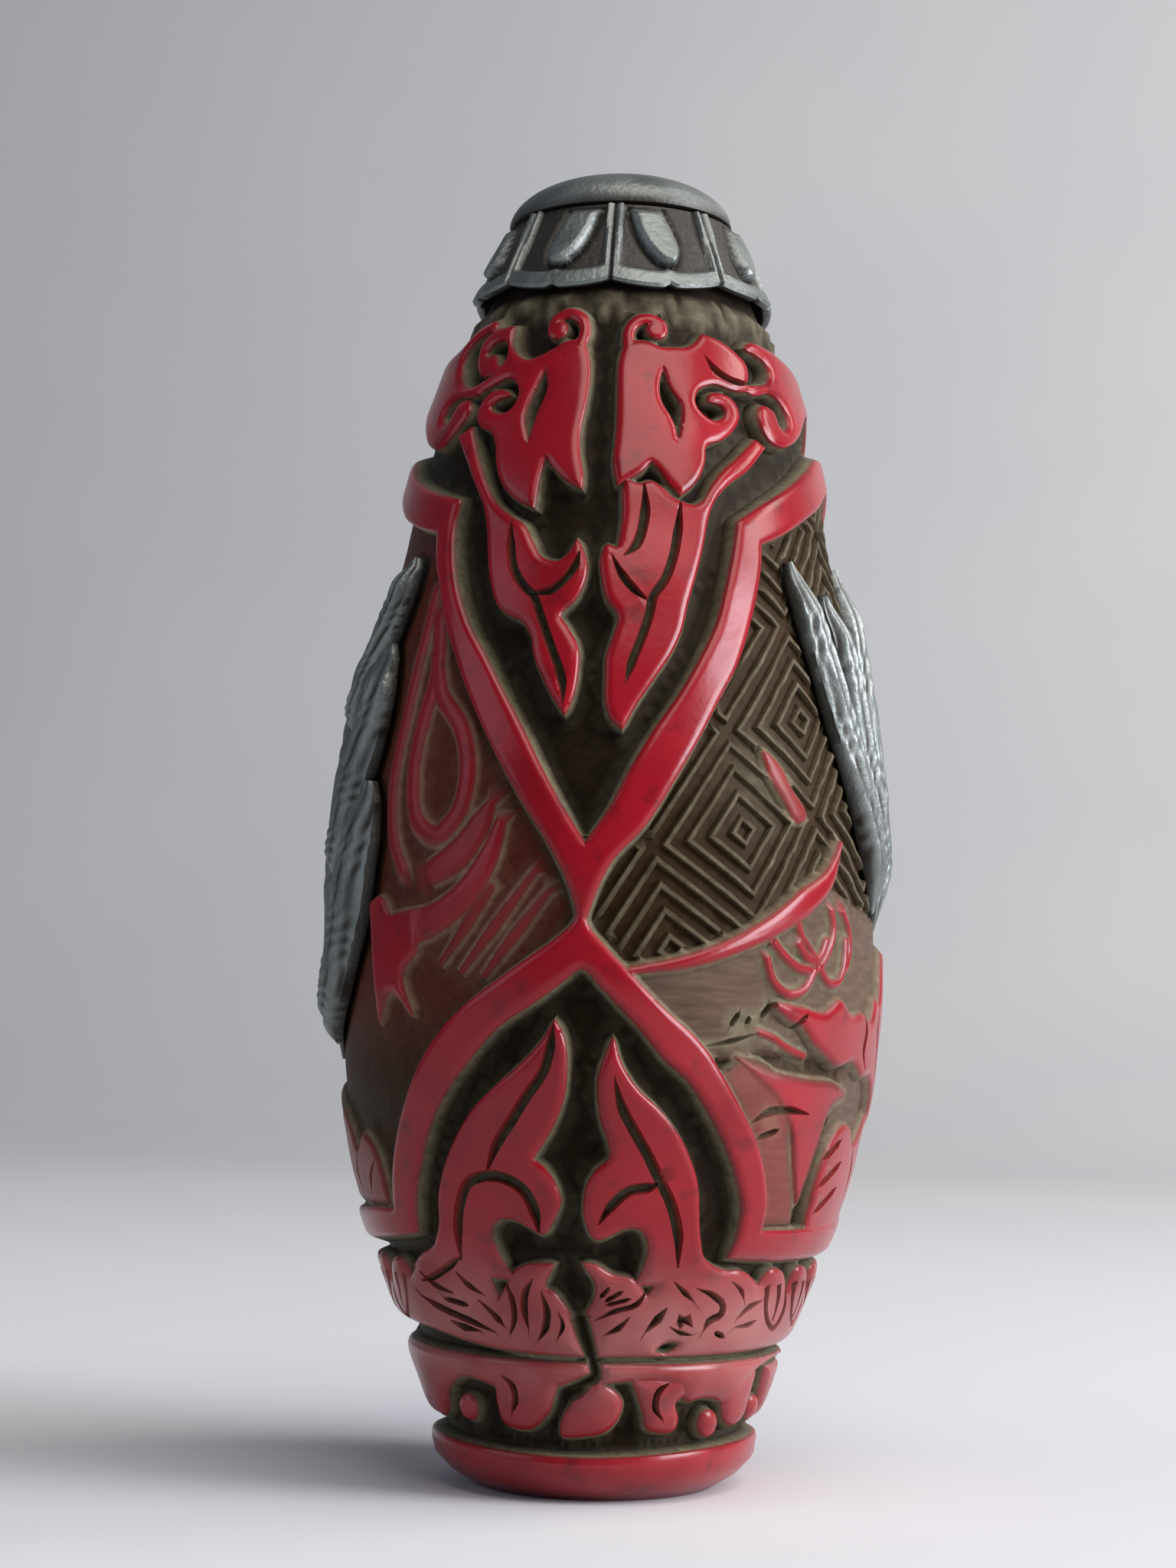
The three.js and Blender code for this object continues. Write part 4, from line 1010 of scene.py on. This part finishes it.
def build_stopper():
    """The dome and its plug turned as one closed shape, with shallow dents, and then leaned."""
    around = 96
    f = np.linspace(0, 1, 26)[:-1] ** 0.8
    dome = [(DOME_RADIUS * math.sqrt(1 - g**2.1), DOME_RISE * g) for g in f]
    profile = [(PLUG_RADIUS - 0.3, -PLUG_LENGTH), (PLUG_RADIUS, -PLUG_LENGTH + 0.3), (PLUG_RADIUS, 0),
               (DOME_RADIUS - 0.12, 0), (DOME_RADIUS - 0.02, 0.05)] + dome[1:]
    turn = np.linspace(0, 2 * math.pi, around, endpoint=False)
    rings = []
    for radius, level in profile:
        worn = 0.03 * np.sin(3 * turn + level) + 0.02 * np.sin(7 * turn - 2 * level)
        dent = worn * (level > 0.2)
        rings.append(np.stack([(radius + dent) * np.sin(turn), -(radius + dent) * np.cos(turn),
                               np.full(around, level) - 0.4 * dent], 1))
    positions = np.concatenate(rings + [np.array([(0, 0, -PLUG_LENGTH), (0, 0, DOME_RISE)])])
    number = np.arange(len(profile) * around).reshape(-1, around)
    faces = [ring_faces(a, b) for a, b in zip(number, number[1:])]
    follow = np.roll(np.arange(around), -1)
    foot, top = len(positions) - 2, len(positions) - 1
    faces.append(np.stack([number[0][follow], number[0], np.full(around, foot)], 1))
    faces.append(np.stack([number[-1], number[-1][follow], np.full(around, top)], 1))
    lean = np.array(Matrix.Rotation(-STOPPER_TILT, 3, "Y"))
    # The foot of the dome and the plug are painted dark: painted shade where the dome sits on the collar.
    tarnish_and_shade = np.clip(1 - positions[:, 2] / 0.9, 0, 1)
    return new_object("silver_stopper_dome", positions @ lean.T + (STOPPER_ASIDE, 0, STOPPER_Z),
                      np.concatenate(faces), {"tarnish_and_shade": tarnish_and_shade})


def linear(code):
    """A hex sRGB colour as linear values."""
    parts = [int(code[i:i + 2], 16) / 255 for i in (1, 3, 5)]
    return tuple(p / 12.92 if p <= 0.04045 else ((p + 0.055) / 1.055) ** 2.4 for p in parts) + (1.0,)


def new_material(name):
    """A material with an empty node tree, and the tree."""
    material = bpy.data.materials.new(name)
    material.use_nodes = True
    material.node_tree.nodes.clear()
    return material, material.node_tree


def per_size(size_mm):
    """Texture scale for a pattern of this size."""
    return 1 / (size_mm * MM)


# Heights where a pale sheen, painted into the red for the light of the window low down, starts,
# where it is strongest, and where it is gone again on the foot.
SHEEN_TOP = 15.0
SHEEN_FULL = 9.5
SHEEN_FOOT_END = 3.0


# Lacquer built up in many coats, carved and then polished on the high parts: the tops are a glossy
# blood red that goes pale where a window shows in it, with dark smudges, and low down a patchy pale
# sheen is painted into the red; the cut walls and grounds are dull dark brown.
def carved_lacquer():
    material, tree = new_material("cinnabar lacquer, carved and polished")
    place = add_node(tree, "ShaderNodeTexCoord").outputs["Object"]
    marks = {name: add_node(tree, "ShaderNodeAttribute", {"attribute_name": name}).outputs["Fac"]
             for name in ("red", "panel", "dust_and_glint", "brown")}
    brushed = add_node(tree, "ShaderNodeMapping", {
        "Rotation": (0.0, math.radians(-35), 0.0), "Scale": (1.0, 1.0, 6.0)}, {"Vector": place}).outputs[0]
    noise = {}
    for name, size, detail, where in (("cloud", 5, 4.0, place), ("grit", 0.45, 3.0, place),
                                      ("flecks", 1.6, 5.0, place), ("strokes", 1.8, 4.0, brushed)):
        made = add_node(tree, "ShaderNodeTexNoise", {"Scale": per_size(size), "Detail": detail},
                        {"Vector": where})
        noise[name] = made.outputs["Fac"]
    tones = {}
    for name, dark, light, pattern in (
            ("clean red", "#6a0711", "#9c0f20", "cloud"), ("field", "#080503", "#261c12", "grit"),
            ("panel", "#150d06", "#3f2d1a", "grit"), ("slope", "#35281f", "#6a5648", "strokes"),
            ("film of dust", "#3d3828", "#88816a", "grit")):
        mixed = add_node(tree, "ShaderNodeMix", {
            "data_type": "RGBA", 6: linear(dark), 7: linear(light)}, {0: noise[pattern]})
        tones[name] = mixed.outputs[2]
    smudge = add_node(tree, "ShaderNodeMapRange", {"From Min": 0.58, "From Max": 0.72, "To Max": 0.55},
                      {"Value": noise["flecks"]})
    smudged = add_node(tree, "ShaderNodeMix", {"data_type": "RGBA", 7: linear("#4a0a12")},
                       {0: smudge.outputs[0], 6: tones["clean red"]})
    height = add_node(tree, "ShaderNodeSeparateXYZ", {}, {0: place}).outputs["Z"]
    # Painted sheen: low on the bottle the red is mixed in patches towards pale pink, for the light of the
    # window there.
    low = add_node(tree, "ShaderNodeMapRange", {
        "interpolation_type": "SMOOTHSTEP", "From Min": SHEEN_TOP * MM, "From Max": SHEEN_FULL * MM},
        {"Value": height})
    band = add_node(tree, "ShaderNodeMapRange", {
        "interpolation_type": "SMOOTHSTEP", "From Min": SHEEN_FOOT_END * MM, "From Max": SHEEN_FULL * MM,
        "To Min": 0.1}, {"Value": height})
    patchy = add_node(tree, "ShaderNodeMapRange", {
        "From Min": 0.35, "From Max": 0.65, "To Min": 0.12, "To Max": 0.5}, {"Value": noise["cloud"]})
    low_band = add_node(tree, "ShaderNodeMath", {"operation": "MULTIPLY"}, {
        0: low.outputs[0], 1: band.outputs[0]})
    pale_sheen = add_node(tree, "ShaderNodeMath", {"operation": "MULTIPLY"}, {
        0: low_band.outputs[0], 1: patchy.outputs[0]})
    # Pale pink of the painted sheen.
    red = add_node(tree, "ShaderNodeMix", {"data_type": "RGBA", 7: linear("#a67d76")},
                   {0: pale_sheen.outputs[0], 6: smudged.outputs[2]})
    colour = tones["field"]
    # The dust mark also holds the painted highlight on the fret by the chip, in the dust colour.
    for mark, over in (("panel", tones["panel"]), ("brown", tones["slope"]),
                       ("dust_and_glint", tones["film of dust"]), ("red", red.outputs[2])):
        mixed = add_node(tree, "ShaderNodeMix", {"data_type": "RGBA"}, {0: marks[mark], 6: colour, 7: over})
        colour = mixed.outputs[2]
    rough = add_node(tree, "ShaderNodeMapRange", {"To Min": 0.65, "To Max": 0.25}, {"Value": marks["red"]})
    gloss = add_node(tree, "ShaderNodeMix", {
        "data_type": "RGBA", 6: linear("#6a6259"), 7: linear("#ffffff")}, {0: marks["red"]})
    bump = add_node(tree, "ShaderNodeBump", {"Strength": 0.12, "Distance": 0.1 * MM},
                    {"Height": noise["grit"]})
    shader = add_node(tree, "ShaderNodeBsdfPrincipled", {"IOR": 1.56, "Specular IOR Level": 0.3}, {
        "Base Color": colour, "Roughness": rough.outputs[0], "Specular Tint": gloss.outputs[2],
        "Normal": bump.outputs[0]})
    add_node(tree, "ShaderNodeOutputMaterial", {}, {"Surface": shader.outputs[0]})
    return material


# Silver sheet, chased and handled for years: the high parts are rubbed bright, the sunk parts are
# tarnished brown-black and dull, and the foot of the stopper's dome is painted dark as shade.
def worn_silver():
    material, tree = new_material("silver sheet, chased and worn")
    place = add_node(tree, "ShaderNodeTexCoord").outputs["Object"]
    # Dark share: tarnish in the sunk parts, and painted shade at the foot of the stopper's dome.
    sunk = add_node(tree, "ShaderNodeAttribute", {"attribute_name": "tarnish_and_shade"}).outputs["Fac"]
    cloud = add_node(tree, "ShaderNodeTexNoise", {"Scale": per_size(2.2), "Detail": 5.0}, {"Vector": place})
    grit = add_node(tree, "ShaderNodeTexNoise", {"Scale": per_size(0.3), "Detail": 3.0}, {"Vector": place})
    bright = add_node(tree, "ShaderNodeMix", {
        "data_type": "RGBA", 6: linear("#5f6462"), 7: linear("#989e9b")}, {0: cloud.outputs["Fac"]})
    dark = add_node(tree, "ShaderNodeMix", {
        "data_type": "RGBA", 6: linear("#120e0b"), 7: linear("#3a332a")}, {0: grit.outputs["Fac"]})
    colour = add_node(tree, "ShaderNodeMix", {"data_type": "RGBA"},
                      {0: sunk, 6: bright.outputs[2], 7: dark.outputs[2]})
    metal = add_node(tree, "ShaderNodeMapRange", {"To Min": 1.0, "To Max": 0.45}, {"Value": sunk})
    rough = add_node(tree, "ShaderNodeMapRange", {"To Min": 0.42, "To Max": 0.6},
                     {"Value": cloud.outputs["Fac"]})
    bump = add_node(tree, "ShaderNodeBump", {"Strength": 0.5, "Distance": 0.12 * MM},
                    {"Height": grit.outputs["Fac"]})
    shader = add_node(tree, "ShaderNodeBsdfPrincipled", {}, {
        "Base Color": colour.outputs[2], "Metallic": metal.outputs[0], "Roughness": rough.outputs[0],
        "Normal": bump.outputs[0]})
    add_node(tree, "ShaderNodeOutputMaterial", {}, {"Surface": shader.outputs[0]})
    return material


# Matt painted board: a pale floor that takes a soft shadow.
def painted_board():
    material, tree = new_material("painted board, matt")
    place = add_node(tree, "ShaderNodeTexCoord").outputs["Object"]
    cloud = add_node(tree, "ShaderNodeTexNoise", {"Scale": per_size(120), "Detail": 2.0}, {"Vector": place})
    colour = add_node(tree, "ShaderNodeMix", {
        "data_type": "RGBA", 6: linear("#c6cad0"), 7: linear("#d4d5d6")}, {0: cloud.outputs["Fac"]})
    shader = add_node(tree, "ShaderNodeBsdfPrincipled", {"Roughness": 0.8}, {
        "Base Color": colour.outputs[2]})
    add_node(tree, "ShaderNodeOutputMaterial", {}, {"Surface": shader.outputs[0]})
    return material


# Edges that turn by more than this stay sharp.
SHARP_FROM = math.radians(42)
LACQUER = carved_lacquer()
SILVER = worn_silver()

body = build_body()
right_leaves = build_leaves("silver_leaves_right", RIGHT_LEAVES)
left_leaves = build_leaves("silver_leaves_left", LEFT_LEAVES)
stopper = build_stopper()
collar = ring_of_lappets(build_lappet_pair(), SILVER)
for piece, node, finish, slot in (
        (body, "lacquer_body", LACQUER, "red_lacquer"),
        (collar, "silver_collar", SILVER, "silver"),
        (stopper, "silver_stopper", SILVER, "silver"),
        (right_leaves, "right_silver_leaves", SILVER, "silver"),
        (left_leaves, "left_silver_leaves", SILVER, "silver")):
    piece.data.materials.clear()
    piece.data.materials.append(finish)
    piece.data.shade_smooth()
    piece.data.set_sharp_from_angle(angle=SHARP_FROM)
    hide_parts(node)
    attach(piece, "root")

# Floor that sweeps up into a backdrop, light and camera, in metres.
SWEEP_HALF = 1.6
SWEEP_FRONT = -1.2
SWEEP_BACK = 0.45
SWEEP_BEND = 0.35
SWEEP_TOP = 1.4
bend = np.linspace(0, QUARTER, 13)
profile = [(SWEEP_FRONT, 0.0)]
profile += [(SWEEP_BACK + SWEEP_BEND * math.sin(t), SWEEP_BEND * (1 - math.cos(t))) for t in bend]
profile.append((SWEEP_BACK + SWEEP_BEND, SWEEP_TOP))
sweep_points = [(side * SWEEP_HALF / MM, y / MM, z / MM) for y, z in profile for side in (-1, 1)]
sweep_faces = [(2 * i, 2 * i + 1, 2 * i + 3, 2 * i + 2) for i in range(len(profile) - 1)]
floor = new_object("floor", sweep_points, sweep_faces)
floor.data.shade_smooth()
floor.data.materials.append(painted_board())

world = bpy.data.worlds.new("dim room")
bpy.context.scene.world = world
world.use_nodes = True
world.node_tree.nodes["Background"].inputs["Color"].default_value = linear("#9fb2cc")
world.node_tree.nodes["Background"].inputs["Strength"].default_value = 0.16


def soft_light(name, spot, aim, size, power, colour):
    """A large square light at a spot, turned towards a point."""
    lamp = bpy.data.lights.new(name, "AREA")
    lamp.shape = "SQUARE"
    lamp.size = size
    lamp.energy = power
    lamp.color = linear(colour)[:3]
    holder = bpy.data.objects.new(name, lamp)
    holder.location = spot
    holder.rotation_euler = (Vector(aim) - Vector(spot)).to_track_quat("-Z", "Y").to_euler()
    holder.visible_camera = False
    bpy.context.scene.collection.objects.link(holder)


# The lights: name, spot, aim, size in metres, power in watts and colour.
MIDDLE = (0.0, 0.0, 0.037)
soft_light("overhead", (0.14, -0.22, 0.5), MIDDLE, 0.42, 2.1, "#fff8f0")
soft_light("window", (0.44, -0.1, 0.17), MIDDLE, 0.26, 3.2, "#f6f6ff")
soft_light("wall", (-0.5, -0.25, 0.25), MIDDLE, 0.4, 0.6, "#dfe8fa")
soft_light("backdrop", (0.55, 0.2, 0.5), (0.3, 0.75, 0.15), 0.4, 4.0, "#fbf3ea")

# Where the camera stands, as a distance from the bottle's middle line and a height, and how it is turned.
CAMERA_REACH = 0.16569
CAMERA_HEIGHT = 0.02392
CAMERA_ROUND = math.radians(4.5)
CAMERA_PITCH = math.radians(5.2)
CAMERA_ROLL = math.radians(1.5)
CAMERA_ASIDE = math.radians(0.445)
# Height of the photograph and focal length of the lens, both in its pixels.
PHOTO_HEIGHT = 2048
FOCAL_PIXELS = 3800
camera_data = bpy.data.cameras.new("camera")
camera_data.sensor_fit = "VERTICAL"
camera_data.sensor_height = 36.0
camera_data.lens = FOCAL_PIXELS / PHOTO_HEIGHT * camera_data.sensor_height
camera_data.clip_start = 0.005
camera = bpy.data.objects.new("camera", camera_data)
heading = CAMERA_ROUND + CAMERA_ASIDE
spot = Vector((math.sin(CAMERA_ROUND), -math.cos(CAMERA_ROUND), 0)) * CAMERA_REACH
spot.z = CAMERA_HEIGHT
level = Vector((-math.sin(heading), math.cos(heading), 0))
forward = level * math.cos(CAMERA_PITCH) + Vector((0, 0, math.sin(CAMERA_PITCH)))
plain_right = Vector((math.cos(heading), math.sin(heading), 0))
plain_up = plain_right.cross(forward)
right = plain_right * math.cos(CAMERA_ROLL) + plain_up * math.sin(CAMERA_ROLL)
up = plain_up * math.cos(CAMERA_ROLL) - plain_right * math.sin(CAMERA_ROLL)
camera.matrix_world = Matrix.Translation(spot) @ Matrix((right, up, -forward)).transposed().to_4x4()
bpy.context.scene.collection.objects.link(camera)
bpy.context.scene.camera = camera
bpy.context.scene.view_settings.view_transform = "Standard"
